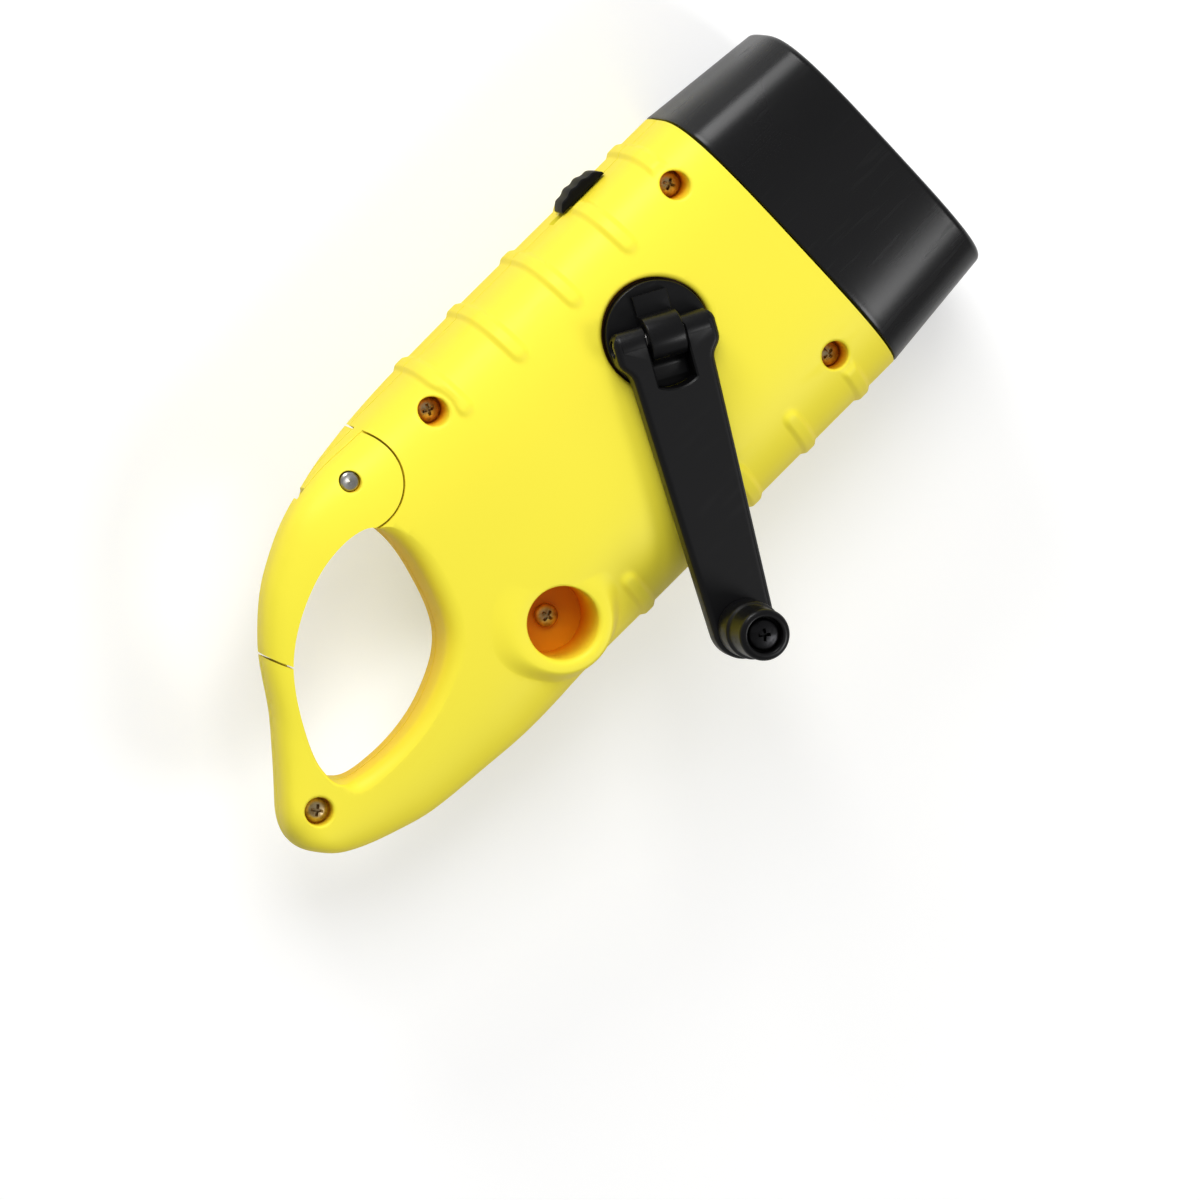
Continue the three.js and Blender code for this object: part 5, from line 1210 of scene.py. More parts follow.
def screw_profile(seat, length, head, height, radius):
    """Profile of a pan-head screw: point, threads, shank, head and crown."""
    top = seat + GAP + height
    low = seat - length
    turns = int((length - 4 * radius) / THREAD_PITCH)
    thread = []
    for k in range(turns):
        z = low + 2 * radius + k * THREAD_PITCH
        thread += [(radius - THREAD_DEPTH, z), (radius, z + THREAD_PITCH / 2)]
    crown = [
        (head * math.cos(a), top - SCREW_CROWN + SCREW_CROWN * math.sin(a))
        for a in np.linspace(0, np.pi / 2, 8)[:-1]
    ]
    rest = seat + GAP
    neck = [(radius, seat), (radius, rest)]
    neck += [(head - SCREW_HEAD_CHAMFER, rest), (head, rest + SCREW_HEAD_CHAMFER)]
    return [(0, low), *thread, *neck, *crown, (0, top)]


def screw(name, place, seat, length, head, height, radius, turn):
    """A cross-recess screw standing on its seat."""
    profile = screw_profile(seat, length, head, height, radius)
    body = turned(name, profile, (*place, 0))
    return carve(body, "DIFFERENCE", cross_cutter(place, seat + GAP + height, turn))


for i, (place, seat, length) in enumerate(zip(screw_places, screw_seats, SHANK_LENGTHS)):
    made = screw(
        f"shell_screw_{i + 1}_turned", place, seat, length,
        SCREW_HEAD_RADIUS, SCREW_HEAD_HEIGHT, SHANK_RADIUS, SCREW_TURN + SCREW_TURN_STEP * i,
    )
    fitted(made, zinc_steel, "housing", "zinc_screw_steel", f"shell_screw_{i + 1}")

# Gate pin and spring: a ground steel pin with chamfered, dimpled ends, and a
# torsion spring of round wire under the lug.
PIN_CHAMFER = 0.22
PIN_DIMPLE = 0.5
SPRING_WIRE, SPRING_TURNS, SPRING_PITCH = 0.3, 2, 0.8
SPRING_STEPS = 48


def pin_profile(radius, low, high, chamfer, dimple=0.0):
    """A round pin with chamfered ends and a shallow dimple in the top."""
    ends = [(0, low), (radius - chamfer, low), (radius, low + chamfer)]
    ends += [(radius, high - chamfer), (radius - chamfer, high)]
    if dimple:
        ends += [(dimple, high), (dimple / 2, high - chamfer / 2)]
    return [*ends, (0, high - (chamfer if dimple else 0))]


def tube_rings(path, radius, sides=12):
    """Round rings along a path, turned with its own direction and Z."""
    along = np.gradient(path, axis=0)
    along /= np.linalg.norm(along, axis=1)[:, None]
    side = np.cross(along, (0, 0, 1))
    side /= np.linalg.norm(side, axis=1)[:, None]
    up = np.cross(side, along)
    angle = (np.arange(sides) / sides * 2 * np.pi)[None, :, None]
    spokes = np.cos(angle) * side[:, None] + np.sin(angle) * up[:, None]
    return path[:, None] + radius * spokes


pin_low = float(skin_height(pin_s, gate_pin[1], upper=False)) + PIN_SINK
pin_high = float(skin_height(pin_s, gate_pin[1])) - PIN_SINK
profile = pin_profile(GATE_PIN_RADIUS, pin_low, pin_high, PIN_CHAMFER, PIN_DIMPLE)
made = turned("gate_pin_turned", profile, (*gate_pin, 0))
fitted(made, steel, "housing", "steel", "gate_pin")
angle = np.linspace(0, SPRING_TURNS * 2 * np.pi, SPRING_TURNS * SPRING_STEPS)
coil_radius = GATE_PIN_RADIUS + GAP + SPRING_WIRE
coil_floor = LUG_LOW - GAP - SPRING_WIRE - SPRING_TURNS * SPRING_PITCH
coil = np.stack([
    gate_pin[0] + coil_radius * np.cos(angle), gate_pin[1] + coil_radius * np.sin(angle),
    coil_floor + SPRING_PITCH * angle / (2 * np.pi),
], -1)
made = lofted("gate_spring_wound", tube_rings(coil, SPRING_WIRE))
fitted(made, steel, "housing", "steel", "gate_spring")

# Head bezel: satin black ABS. It tapers to the front, has a rounded front edge
# and a flared lip, and its spigot plugs into the two shells.
HEAD_LENGTH = 20.0
HEAD_SIDE_TAPER = 1.7
HEAD_FACE_TAPER = 1.5
HEAD_EDGE = 1.0
HEAD_BACK_EDGE = 0.25
HEAD_LIP = 1.6
HEAD_WALL = 2.0
LIP_ROOT, LIP_RIM = (0.15, 0.02), (0.2, 0.1)
HEAD_STEPS = 25
SPIGOT_LENGTH = 2.4
SPIGOT_WALL = 1.4
HEAD_COUNT = 260
head_front = SEAM_X + HEAD_LENGTH
head_back = SEAM_X + GAP
head_half = BODY_THICKNESS / 2 - HEAD_FACE_TAPER
bore_side = BODY_HALF_WIDTH - HEAD_SIDE_TAPER - HEAD_WALL
bore_half = head_half - HEAD_WALL
head_angles = even_angles(HEAD_COUNT, BODY_HALF_WIDTH / PARTING_HEIGHT)


def oblong_ring(x, side, up, down):
    """A superellipse ring across X about the head's middle."""
    y, z = oblong(head_angles, 0.0, side, PARTING_HEIGHT, up, down)
    return np.column_stack([np.full(HEAD_COUNT, x), y, z])


def head_ring(x, share, inset):
    """The bezel's outer section: a share of the taper, drawn in by inset."""
    side = BODY_HALF_WIDTH - HEAD_SIDE_TAPER * share - inset
    up = BODY_THICKNESS - PARTING_HEIGHT - HEAD_FACE_TAPER * share - inset
    down = PARTING_HEIGHT + SOLAR_SIDE_SWELL * (1 - 2 * share) - inset
    return oblong_ring(x, side, up, down)


def bore_ring(x, inset=0.0):
    """The bore's section, drawn in by inset."""
    return oblong_ring(x, bore_side - inset, bore_half - inset, bore_half - inset)


def bore_plate(name, low, high, inset=0.0, edge=0.0):
    """A plate across X with the bore's outline, drawn in, and rounded rims."""
    rims = quarter(edge, 5)
    rows = [bore_ring(low + depth, inset + out) for out, depth in rims[::-1]]
    return lofted(name, rows + [bore_ring(high - depth, inset + out) for out, depth in rims])


def head_bezel():
    """Outer skin, spigot, bore and lip, joined and cut as closed lofts."""
    run = head_front - HEAD_EDGE - head_back
    steps = np.linspace(0, 1, HEAD_STEPS)
    rows = [head_ring(head_back + depth, 0, out) for out, depth in quarter(HEAD_BACK_EDGE, 5)[::-1]]
    rows += [head_ring(head_back + run * t, t, 0) for t in steps if run * t > HEAD_BACK_EDGE]
    rows += [head_ring(head_front - depth, 1, out) for out, depth in quarter(HEAD_EDGE, 12)[1:]]
    skin = carve(lofted("head_bezel_moulded", rows), "INTERSECT", above(0))
    inset = WALL + GAP
    side = BODY_HALF_WIDTH - inset
    up = BODY_THICKNESS - inset - PARTING_HEIGHT
    down = PARTING_HEIGHT + SOLAR_SIDE_SWELL - inset
    ends = (SEAM_X - SPIGOT_LENGTH, head_back + OVERRUN)
    plug = lofted("plug", [oblong_ring(x, side, up, down) for x in ends])
    plug = carve(plug, "INTERSECT", above(inset))
    lip = head_front - HEAD_LIP
    flare = [
        (lip - OVERRUN, SPIGOT_WALL), (lip, SPIGOT_WALL),
        (lip + LIP_ROOT[0], SPIGOT_WALL - LIP_ROOT[1]),
        (head_front - LIP_RIM[0], SLACK + LIP_RIM[1]), (head_front, SLACK),
        (head_front + OVERRUN, SLACK),
    ]
    bore = bore_plate("bore", SEAM_X - SPIGOT_LENGTH - OVERRUN, lip)
    flare = lofted("flare", [bore_ring(x, out) for x, out in flare])
    return carve(carve(skin, "UNION", plug), "DIFFERENCE", bore, flare)


BLACK = (0.0065, 0.0065, 0.007)
DEEP_BLACK = (0.004, 0.004, 0.0045)
black_satin = plastic(
    "black_satin_plastic", BLACK, DEEP_BLACK, rough=0.2, grain_size=5200, scuffs=0.08,
    mottle=0.5, bump=0.015, Specular_IOR_Level=0.33,
)
fitted(head_bezel(), black_satin, "housing", "black_satin_plastic", "head_bezel")

# Lens, reflector and lamps: a clear plate behind the lip, a vacuum-metallised
# moulding with three bowls, and three clear epoxy lamps on their board.
LENS_THICKNESS = 1.4
LENS_EDGE = 0.2
REFLECTOR_FLANGE = 1.2
CUP_WEB, CUP_MARGIN, CUP_DEPTH, CUP_WALL = 0.6, 0.1, 9.4, 0.9
CUP_RINGS = 24
LAMP_COUNT = 3
LAMP_RADIUS, LAMP_LENGTH, LAMP_FLANGE_RADIUS, LAMP_FLANGE = 2.4, 7.6, 2.8, 0.9
LEAD_FOOT, LEAD_RADIUS = 0.4, 0.5
LEAD_CUP = [(0.5, -0.6), (1.1, 0), (0.9, 0), (0.45, -0.4), (0, -0.4)]
CHIP_PROFILE = [(0, -0.38), (0.42, -0.38), (0.6, -0.12), (0, -0.05)]
ALONG_X = np.array([(0, 0, 1), (0, 1, 0), (-1, 0, 0)])
lens_front = head_front - HEAD_LIP - GAP
flange_front = lens_front - LENS_THICKNESS - GAP
cup_back = flange_front - CUP_DEPTH
flange_side = bore_side - GAP
cup_radius = flange_side / LAMP_COUNT - CUP_WEB
outer_lamp = flange_side - CUP_MARGIN - CUP_WALL - cup_radius
lamp_places = [outer_lamp * (2 * i / (LAMP_COUNT - 1) - 1) for i in range(LAMP_COUNT)]


def clear(name, colour, rough, ior, **sockets):
    """Clear plastic, hazed a little by slow noise in its roughness."""
    made, tree, shader = finish(name, Transmission_Weight=1.0, IOR=ior, **sockets)
    at = node(tree, "ShaderNodeTexCoord").outputs["Object"]
    haze = node(tree, "ShaderNodeTexNoise", {"Vector": at, "Scale": 120.0, "Detail": 3.0})
    rough_at = node(tree, "ShaderNodeMapRange", {
        "Value": haze.outputs["Fac"], "To Min": rough / 2, "To Max": rough * 2,
    })
    tint = ramp(tree, haze.outputs["Fac"], [(0.3, colour), (0.7, tuple(0.97 * c for c in colour))])
    tree.links.new(rough_at.outputs["Result"], shader.inputs["Roughness"])
    tree.links.new(tint.outputs["Color"], shader.inputs["Base Color"])
    return made


clear_lens = clear("clear_lens", (0.96, 0.98, 0.98), rough=0.03, ior=1.58)
lens = bore_plate("front_lens_polished", lens_front - LENS_THICKNESS, lens_front, GAP, LENS_EDGE)
fitted(lens, clear_lens, "housing", "clear_lens", "front_lens")
mirror = metal_finish("vacuum_metal", (0.92, 0.92, 0.93), (0.88, 0.88, 0.89), rough=0.05, bump=0.01)


def bowl(wall, over):
    """Profile of a lamp's bowl, whose radius grows with the root of the depth."""
    throat = LAMP_FLANGE_RADIUS + GAP
    share = np.linspace(0, 1, CUP_RINGS)
    wide = throat + (cup_radius - throat) * np.sqrt(share) + wall
    curve = list(zip(wide, cup_back + CUP_DEPTH * share))
    if not over:
        return [(0, cup_back), *curve, (0, flange_front)]
    back = [(0, cup_back - over), (throat + wall, cup_back - over)]
    return [*back, *curve, (cup_radius + wall, flange_front + over), (0, flange_front + over)]


reflector_back = flange_front - REFLECTOR_FLANGE
reflector = bore_plate("reflector_metallised", reflector_back, flange_front, GAP, LENS_EDGE)
for wall, over, operation in ((CUP_WALL, 0, "UNION"), (0, OVERRUN, "DIFFERENCE")):
    for y in lamp_places:
        cup = turned("bowl", bowl(wall, over), (0, y, PARTING_HEIGHT), sides=96, basis=ALONG_X)
        reflector = carve(reflector, operation, cup)
fitted(reflector, mirror, "housing", "mirror_reflector", "reflector")

epoxy = clear("lamp_epoxy", (0.97, 0.97, 0.93), rough=0.02, ior=1.52)
phosphor = plastic(
    "lamp_phosphor", (0.9, 0.72, 0.12), (0.8, 0.55, 0.08), rough=0.5, grain_size=9000,
    scuffs=0.0, mottle=0.3, bump=0.05,
)
tip = cup_back + LAMP_LENGTH
flange = cup_back + LAMP_FLANGE
lamp_profile = [(0, cup_back), (LAMP_FLANGE_RADIUS, cup_back), (LAMP_FLANGE_RADIUS, flange)]
lamp_profile += [(LAMP_RADIUS, flange)]
lamp_profile += [
    (LAMP_RADIUS * math.cos(a), tip - LAMP_RADIUS + LAMP_RADIUS * math.sin(a))
    for a in np.linspace(0, np.pi / 2, 16)[:-1]
]
lamp_profile += [(0, tip)]
cup_floor = cup_back + LAMP_LENGTH / 2
lead_profile = [(0, cup_back + LEAD_FOOT), (LEAD_RADIUS, cup_back + LEAD_FOOT)]
lead_profile += [(radius, cup_floor + rise) for radius, rise in LEAD_CUP]
chip_profile = [(radius, cup_floor + rise) for radius, rise in CHIP_PROFILE]
for i, y in enumerate(lamp_places):
    at = (0, y, PARTING_HEIGHT)
    lamp = turned(f"lamp_{i + 1}_dome", lamp_profile, at, sides=48, basis=ALONG_X)
    fitted(lamp, epoxy, "housing", "lamp_epoxy", f"lamp_{i + 1}")
    lead = turned(f"lamp_{i + 1}_lead", lead_profile, at, sides=32, basis=ALONG_X)
    fitted(lead, steel, "housing", "steel")
    chip = turned(f"lamp_{i + 1}_chip", chip_profile, at, sides=24, basis=ALONG_X)
    fitted(chip, phosphor, "housing", "lamp_epoxy")

# Solar window and cell: a clear cover set in the solar face, with a dark cell
# behind it that carries thin silver fingers and two bars.
PANEL_EDGE = 0.15
clear_window = clear("clear_window", (0.9, 0.94, 0.96), rough=0.06, ior=1.5)
window_top = PANEL_SINK + PANEL_THICKNESS
window = panel_prism("solar_window_clear", GAP, PANEL_SINK, window_top, PANEL_EDGE)
fitted(window, clear_window, "housing", "clear_window", "solar_window")
cell, tree, shader = finish(
    "solar_cell", Metallic=0.0, Roughness=0.3, Coat_Weight=0.6, Coat_Roughness=0.08,
)
at = node(tree, "ShaderNodeTexCoord").outputs["Object"]
crystal = node(tree, "ShaderNodeTexVoronoi", {"Vector": at, "Scale": 260.0})
blue = ramp(tree, crystal.outputs["Distance"], [(0.0, (0.006, 0.010, 0.045)), (1.0, (0.012, 0.022, 0.09))])
finger = node(tree, "ShaderNodeTexWave", {"Vector": at, "Scale": 105.0}, bands_direction="X")
bar = node(tree, "ShaderNodeTexWave", {"Vector": at, "Scale": 12.0}, bands_direction="Y")
fingers = ramp(tree, finger.outputs["Fac"], [(0.94, 0.0), (0.97, 1.0)])
bars = ramp(tree, bar.outputs["Fac"], [(0.985, 0.0), (0.99, 1.0)])
silver = maths(tree, "MAXIMUM", fingers.outputs["Color"], bars.outputs["Color"])
face = blend(tree, silver, blue.outputs["Color"], (0.6, 0.6, 0.58, 1))
tree.links.new(face, shader.inputs["Base Color"])
paint(cell, "solar_cell")

# Crank hub: glossy black nylon. A disc turns in the shell's seat and carries a
# lug with a round barrel, which holds the arm's hinge pin.
CRANK_REST_ANGLE = 242.0
PIN_AXIS = 36.7
EAR_RADIUS = 2.1
EARS_WIDTH = 15.3
LUG_WIDTH = 5.2
LUG_LENGTH = 12.4
LUG_WING = 1.1
LUG_BARREL_RADIUS = 3.3
LUG_EDGE = 0.22
HINGE_RADIUS = 1.0
HINGE_EDGE = 0.2
HUB_DISC_TOP = 34.3
HUB_DISC_EDGE = 0.3
HUB_SHAFT_RADIUS = 2.5
crank_angle = math.radians(CRANK_REST_ANGLE)
crank_u = np.array([math.cos(crank_angle), math.sin(crank_angle), 0])
crank_v = np.array([-math.sin(crank_angle), math.cos(crank_angle), 0])
UP = np.array([0, 0, 1])
hub_origin = np.array([*hub_place, 0])
plan_basis = np.stack([crank_u, crank_v, UP], 1)
side_basis = np.stack([crank_u, UP, crank_v], 1)
pin_basis = np.stack([crank_u, UP, -crank_v], 1)


def crank_prism(name, outline, low, high, edge, basis, core, profile=None):
    """An outline in the crank's own frame, raised with soft edges.

    The caps meet in the core, a place that sees the whole outline.
    """
    rims = profile or [*quarter(edge, 6), (2 * edge, 0)]
    rows = [at_height(spread(outline, -out), low + depth) for out, depth in rims[::-1]]
    rows += [at_height(spread(outline, -out), high - depth) for out, depth in rims]
    poles = np.array([(*core, low), (*core, high)])
    return lofted(name, np.array(rows) @ basis.T + hub_origin, poles @ basis.T + hub_origin)


def pin_bar(name, radius, width, edge=0.0):
    """A round bar along the hinge's axis."""
    half = width / 2
    rims = quarter(edge, 6)
    low = [(radius - out, depth - half) for out, depth in rims[::-1]]
    high = [(radius - out, half - depth) for out, depth in rims]
    place = hub_origin + PIN_AXIS * UP
    return turned(name, [(0, -half), *low, *high, (0, half)], place, sides=72, basis=pin_basis)


def lug_outline():
    """Side view of the lug: a round barrel between two flat wings."""
    long, top, radius = LUG_LENGTH / 2, HUB_DISC_TOP + LUG_WING, LUG_BARREL_RADIUS
    turn = np.radians(np.linspace(0, 180, 48))
    barrel = np.stack([radius * np.cos(turn), PIN_AXIS + radius * np.sin(turn)], -1)
    low = HUB_DISC_TOP - OVERRUN
    bend = np.radians(np.linspace(0, 90, 6))
    foot = PIN_AXIS - top
    hollow = np.stack([radius + foot * (1 - np.sin(bend)), top + foot * (1 - np.cos(bend))], -1)
    left = [(-radius, top), (-long, top), (-long, low), (long, low), (long, top)]
    return np.vstack([hollow[:-1], barrel, left])


CRANK_BLACK = (0.005, 0.005, 0.0055)
black_gloss = plastic(
    "black_gloss_plastic", CRANK_BLACK, DEEP_BLACK, rough=0.24, grain_size=3000, scuffs=0.1,
    mottle=0.5, bump=0.02, Specular_IOR_Level=0.25,
)
seat_top = seat_floor + GAP
disc_radius = HUB_SEAT_RADIUS - SLACK
disc = [(0, PLATE_BOTTOM), (HUB_SHAFT_RADIUS, PLATE_BOTTOM)]
disc += [(HUB_SHAFT_RADIUS, seat_top), (disc_radius, seat_top)]
disc += [(disc_radius - out, HUB_DISC_TOP - depth) for out, depth in quarter(HUB_DISC_EDGE, 6)]
disc += [(disc_radius - 2 * HUB_DISC_EDGE, HUB_DISC_TOP), (0, HUB_DISC_TOP)]
hub = turned("crank_hub_moulded", disc, hub_origin, sides=144)
half = LUG_WIDTH / 2
lug_core = (0, HUB_DISC_TOP)
lug = crank_prism("lug", lug_outline(), -half, half, LUG_EDGE, side_basis, lug_core)
hub = carve(hub, "UNION", lug)
hub = carve(hub, "DIFFERENCE", pin_bar("pin_room", HINGE_RADIUS + GAP, EARS_WIDTH))
fitted(hub, black_gloss, "crank_hub_body", "black_gloss_plastic", "crank_hub")
hinge_pin = pin_bar("hinge_pin_ground", HINGE_RADIUS, EARS_WIDTH - SLACK, HINGE_EDGE)
fitted(hinge_pin, steel, "crank_hub_body", "steel", "hinge_pin")

# Crank arm: black nylon with a fine grain. Two ears fork round the lug, the
# shoulders narrow to a long taper, and bevels run round the upper edge.
ARM_THICKNESS = 3.9
ARM_SLOT_LENGTH = 6.8
ARM_SLOT_SAG = 0.8
ARM_SHOULDER = (1.7, 5.4)
ARM_ROOT_WIDTH = 12.2
ARM_TIP_WIDTH = 9.3
ARM_EDGE_PROFILE = [
    (0, 0.7), (0.03, 0.58), (0.1, 0.46), (0.46, 0.1), (0.58, 0.03), (0.7, 0), (1.0, 0),
]
EAR_CORNER = 1.8
EAR_TRIM = 1.0
SLOT_EDGE = 0.25
KNOB_SCREW_RADIUS = 1.2
arm_low, arm_high = PIN_AXIS - ARM_THICKNESS / 2, PIN_AXIS + ARM_THICKNESS / 2


def arm_outline():
    """Plan of the arm: ears, S-curved shoulders, straight taper, round tip."""
    ears, root, tip = EARS_WIDTH / 2, ARM_ROOT_WIDTH / 2, ARM_TIP_WIDTH / 2
    t = np.linspace(0, 1, 24)
    start, end = ARM_SHOULDER
    along = start + (end - start) * (1.5 * t * (1 - t) + t ** 3)
    across = ears + (root - ears) * (3 * t ** 2 - 2 * t ** 3)
    shoulder = np.stack([along, across], -1)
    turn = np.radians(np.linspace(90, -90, 48))
    round_tip = np.stack([ARM_LENGTH + tip * np.cos(turn), tip * np.sin(turn)], -1)
    corner = np.array([(out - EAR_RADIUS, ears - depth) for out, depth in quarter(EAR_CORNER, 12)])
    side = np.vstack([corner, shoulder])
    return np.vstack([side, round_tip, side[::-1] * (1, -1)])[::-1]


def slot_cutter():
    """The fork's slot, with a bowed end and slightly broken edges."""
    half = LUG_WIDTH / 2 + GAP
    bow = (half ** 2 + ARM_SLOT_SAG ** 2) / (2 * ARM_SLOT_SAG)
    y = np.linspace(-half, half, 24)
    x = ARM_SLOT_LENGTH + ARM_SLOT_SAG - bow + np.sqrt(bow ** 2 - y ** 2)
    outline = np.vstack([[(-ARM_LENGTH, -half)], np.stack([x, y], -1), [(-ARM_LENGTH, half)]])
    levels = [(SLOT_EDGE, arm_low - OVERRUN), (SLOT_EDGE, arm_low), (0, arm_low + SLOT_EDGE)]
    levels += [(0, arm_high - SLOT_EDGE), (SLOT_EDGE, arm_high), (SLOT_EDGE, arm_high + OVERRUN)]
    rows = [at_height(spread(outline, out), z) for out, z in levels]
    return lofted("slot", np.array(rows) @ plan_basis.T + hub_origin)


def behind_pin():
    """Room behind the hinge's axis, all round the ears' barrels."""
    far = 2 * EARS_WIDTH
    outline = np.array([(-far, -far), (0, -far), (0, far), (-far, far)])
    rows = [at_height(outline, z) for z in (arm_low - OVERRUN, arm_high + OVERRUN)]
    room = lofted("behind", np.array(rows) @ plan_basis.T + hub_origin)
    return carve(room, "DIFFERENCE", pin_bar("barrel", EAR_RADIUS - EDGE_LIFT, 5 * EARS_WIDTH))


black_crank = plastic(
    "black_crank_plastic", CRANK_BLACK, DEEP_BLACK, rough=0.3, grain_size=4200, scuffs=0.1,
    mottle=0.5, bump=0.025, Specular_IOR_Level=0.27,
)
knob_place = hub_place + ARM_LENGTH * crank_u[:2]
arm = crank_prism(
    "crank_arm_moulded", arm_outline(), arm_low, arm_high, 0, plan_basis,
    (ARM_SHOULDER[1], 0), ARM_EDGE_PROFILE,
)
arm = carve(arm, "DIFFERENCE", behind_pin())
ears_width = EARS_WIDTH - 2 * EAR_TRIM
arm = carve(arm, "UNION", pin_bar("ears", EAR_RADIUS, ears_width, EAR_RADIUS - ARM_THICKNESS / 2))
arm = carve(
    arm, "DIFFERENCE", slot_cutter(), pin_bar("pin_room", HINGE_RADIUS + GAP, 2 * EARS_WIDTH),
    rod("screw_room", KNOB_SCREW_RADIUS + GAP, arm_low - OVERRUN, arm_high + OVERRUN, knob_place),
)
fitted(arm, black_crank, "crank_arm_body", "black_crank_plastic", "crank_arm")

# Knob: glossy black, turning on a blackened screw. Its collar is wider than
# the grip, its top edge is round, and the screw's head lies in a well.
KNOB_RADIUS, KNOB_LENGTH, KNOB_GRIP = 4.15, 11.0, 3.7
KNOB_RING = 4.5
KNOB_EDGE = 0.8
KNOB_FOOT_EDGE = 0.3
KNOB_WELL_EDGE = 0.25
KNOB_SCREW_HEAD = 2.3
KNOB_SCREW_SINK = 0.5
KNOB_SCREW_TURN = 0.9
knob_floor = arm_high + GAP
knob_top = knob_floor + KNOB_LENGTH
knob_seat = knob_top - KNOB_SCREW_SINK - SCREW_HEAD_HEIGHT - GAP
collar = knob_floor + KNOB_RING
well = KNOB_SCREW_HEAD + GAP
sweep = np.linspace(0, 1, 10)
foot = quarter(KNOB_FOOT_EDGE, 5)[::-1]
drawn_in = (KNOB_RADIUS - KNOB_GRIP) * ease(sweep, 0, 1)
profile = [(KNOB_SCREW_RADIUS + GAP, knob_floor)]
profile += [(KNOB_RADIUS - out, knob_floor + depth) for out, depth in foot]
profile += [(KNOB_RADIUS - out, collar + KNOB_EDGE * t) for out, t in zip(drawn_in, sweep)]
profile += [(KNOB_GRIP - out, knob_top - depth) for out, depth in quarter(KNOB_EDGE, 10)]
profile += [(well + out, knob_top - depth) for out, depth in quarter(KNOB_WELL_EDGE, 6)[::-1]]
profile += [(well, knob_seat), (KNOB_SCREW_RADIUS + GAP, knob_seat)]
knob = hooped("crank_knob_moulded", lathe_rings(profile, (*knob_place, 0), sides=128))
fitted(knob, black_gloss, "crank_knob_body", "black_gloss_plastic", "crank_knob")
made = screw(
    "knob_screw_turned", knob_place, knob_seat, knob_seat - arm_low - GAP,
    KNOB_SCREW_HEAD, SCREW_HEAD_HEIGHT, KNOB_SCREW_RADIUS, KNOB_SCREW_TURN,
)
fitted(made, black_steel, "crank_arm_body", "black_steel", "knob_screw")

# Slide switch: a dull black button with soft cross ridges, which lies on the
# housing's side over the parting line and reaches the switch with its stem.
SWITCH_RISE = 1.8
SWITCH_RIDGES = 4
SWITCH_RIDGE_DEPTH = 0.22
SWITCH_EDGE = 0.3
SWITCH_BOW = 0.9
SWITCH_POINTS = 121
STEM_DEPTH = 1.2
black_dull = plastic(
    "black_dull_plastic", CRANK_BLACK, DEEP_BLACK, rough=0.42, grain_size=3600, scuffs=0.1,
    mottle=0.5, bump=0.03, Specular_IOR_Level=0.1,
)
switch_seat = BODY_HALF_WIDTH + GAP
half, tall = SWITCH_LENGTH / 2, SWITCH_HEIGHT / 2
x = np.linspace(half, -half, SWITCH_POINTS)
dome = SWITCH_RISE * np.sqrt(1 - (x / half) ** 2 * SWITCH_BOW)
ridge = SWITCH_RIDGE_DEPTH * (0.5 + 0.5 * np.cos(np.pi * (x / half + 1) * SWITCH_RIDGES))
top_line = np.stack([switch_x + x, switch_seat + dome - ridge], -1)
outline = np.vstack([[(switch_x - half, switch_seat), (switch_x + half, switch_seat)], top_line])
slider = rounded_prism(
    "switch_slider_moulded", outline, PARTING_HEIGHT - tall, PARTING_HEIGHT + tall,
    SWITCH_EDGE, SWITCH_EDGE, core=(switch_x, switch_seat + SWITCH_EDGE),
)
stem_end = BODY_HALF_WIDTH - WALL - STEM_DEPTH
slider = carve(slider, "UNION", block(
    "stem",
    (switch_x - STEM_HALF_LENGTH, stem_end, PARTING_HEIGHT - STEM_HALF_HEIGHT),
    (switch_x + STEM_HALF_LENGTH, switch_seat + OVERRUN, PARTING_HEIGHT + STEM_HALF_HEIGHT),
))
fitted(slider, black_dull, "slider_body", "black_gloss_plastic", "switch_slider")

# Generator and gear train: steel plate, axles and cup, white nylon gears, a
# copper winding round a ferrite magnet, and a brass bush for the crank.
brass = metal_finish("brass", (0.78, 0.57, 0.25), (0.5, 0.34, 0.12), rough=0.3)
nylon = plastic(
    "white_nylon", (0.78, 0.77, 0.72), (0.6, 0.58, 0.5), rough=0.42, grain_size=4000,
    scuffs=0.05, mottle=0.5, bump=0.06,
)
ferrite = plastic(
    "ferrite_magnet", (0.045, 0.045, 0.05), (0.02, 0.02, 0.022), rough=0.5, grain_size=7000,
    scuffs=0.1, mottle=0.8, bump=0.2,
)
copper, tree, shader = finish("copper_winding", Metallic=1.0, Coat_Weight=0.5)
at = node(tree, "ShaderNodeTexCoord").outputs["Object"]
wires = node(tree, "ShaderNodeTexWave", {
    "Vector": at, "Scale": 520.0, "Distortion": 1.2, "Detail": 1.0,
}, bands_direction="Z")
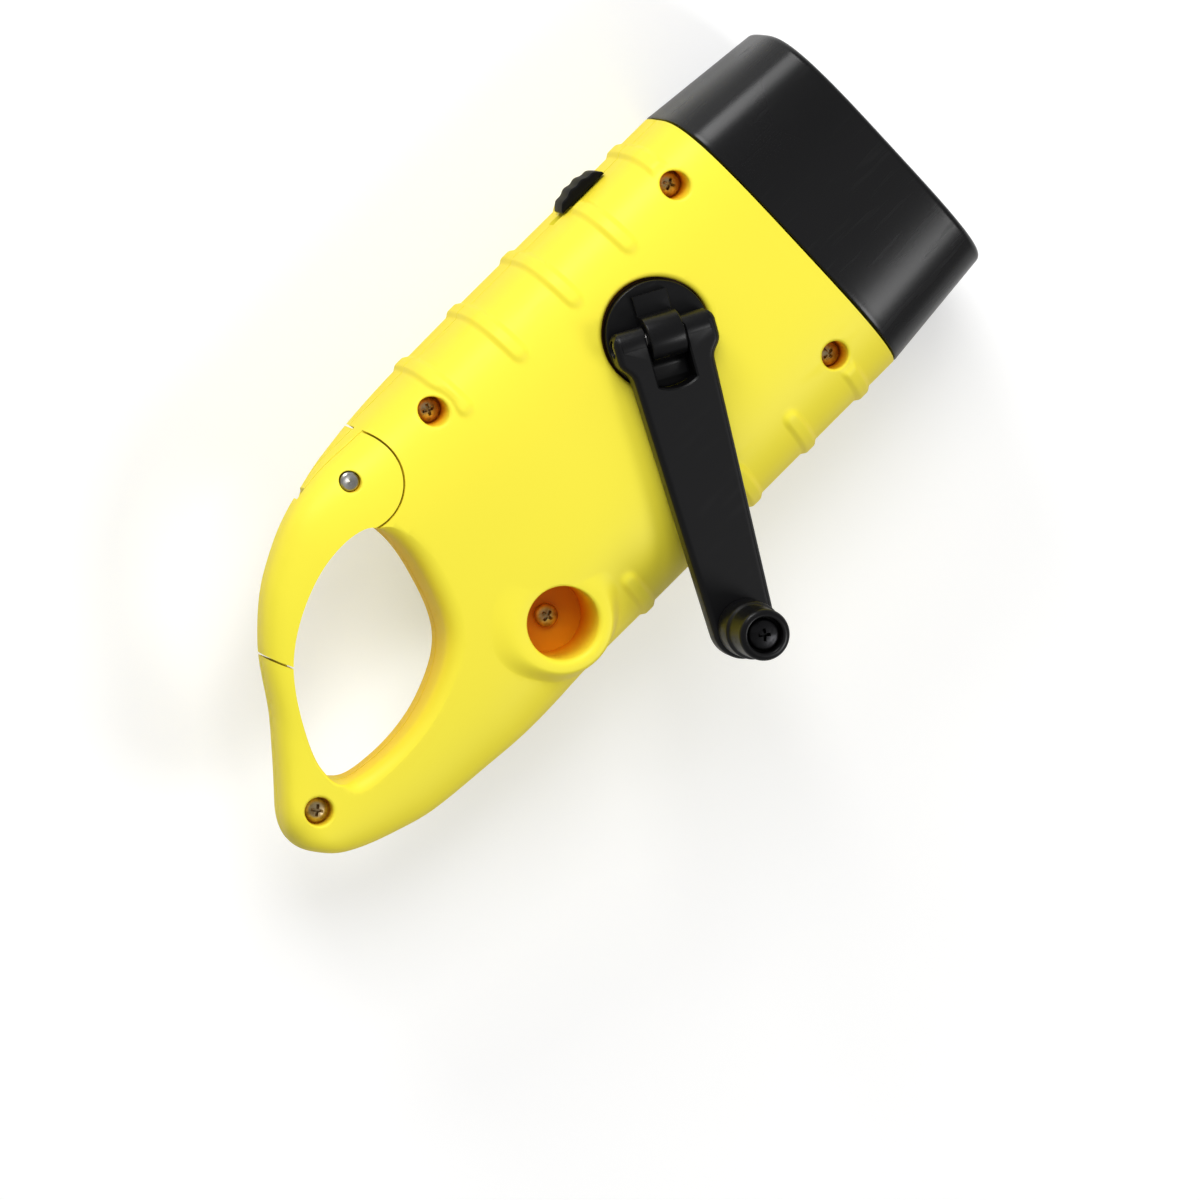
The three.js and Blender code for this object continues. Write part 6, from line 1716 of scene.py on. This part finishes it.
wire_colour = ramp(tree, wires.outputs["Fac"], [(0.1, (0.2, 0.05, 0.015)), (0.6, (0.8, 0.32, 0.12))])
wire_rough = node(tree, "ShaderNodeMapRange", {
    "Value": wires.outputs["Fac"], "To Min": 0.55, "To Max": 0.25,
})
tree.links.new(wire_colour.outputs["Color"], shader.inputs["Base Color"])
tree.links.new(wire_rough.outputs["Result"], shader.inputs["Roughness"])
bumped(tree, shader, wires.outputs["Fac"], 0.6, distance=0.15)
paint(steel, "gear_plate", "axle_2", "axle_3", "rotor_pinion", "stator_cup")
paint(steel, "hub_clip", "slide_switch_body")
paint(steel, *(f"gear_plate_screw_{i}" for i in range(1, 5)))
paint(nylon, "drive_gear", "compound_gear_2", "compound_gear_3")
paint(brass, "hub_bush")
paint(copper, "stator_coil")
paint(ferrite, "rotor_magnet")

# Battery pack and boards: cells in a shrunk sleeve, and green laminate with
# faint copper tracks under the solder mask.
sleeve = plastic(
    "battery_sleeve", (0.05, 0.25, 0.12), (0.02, 0.12, 0.06), rough=0.28, grain_size=1500,
    scuffs=0.25, mottle=0.6, bump=0.15,
)
board, tree, shader = finish("circuit_board", IOR=1.5, Coat_Weight=0.3)
at = node(tree, "ShaderNodeTexCoord").outputs["Object"]
tracks = node(tree, "ShaderNodeTexBrick", {
    "Vector": at, "Scale": 260.0, "Mortar Size": 0.08, "Color1": (0.01, 0.10, 0.035, 1),
    "Color2": (0.012, 0.13, 0.045, 1), "Mortar": (0.03, 0.2, 0.06, 1),
})
mask = node(tree, "ShaderNodeTexNoise", {"Vector": at, "Scale": 500.0, "Detail": 3.0})
board_rough = node(tree, "ShaderNodeMapRange", {
    "Value": mask.outputs["Fac"], "To Min": 0.25, "To Max": 0.45,
})
tree.links.new(tracks.outputs["Color"], shader.inputs["Base Color"])
tree.links.new(board_rough.outputs["Result"], shader.inputs["Roughness"])
bumped(tree, shader, tracks.outputs["Fac"], 0.3, distance=0.05)
paint(sleeve, "battery_pack")
paint(board, "main_board", "lamp_board")
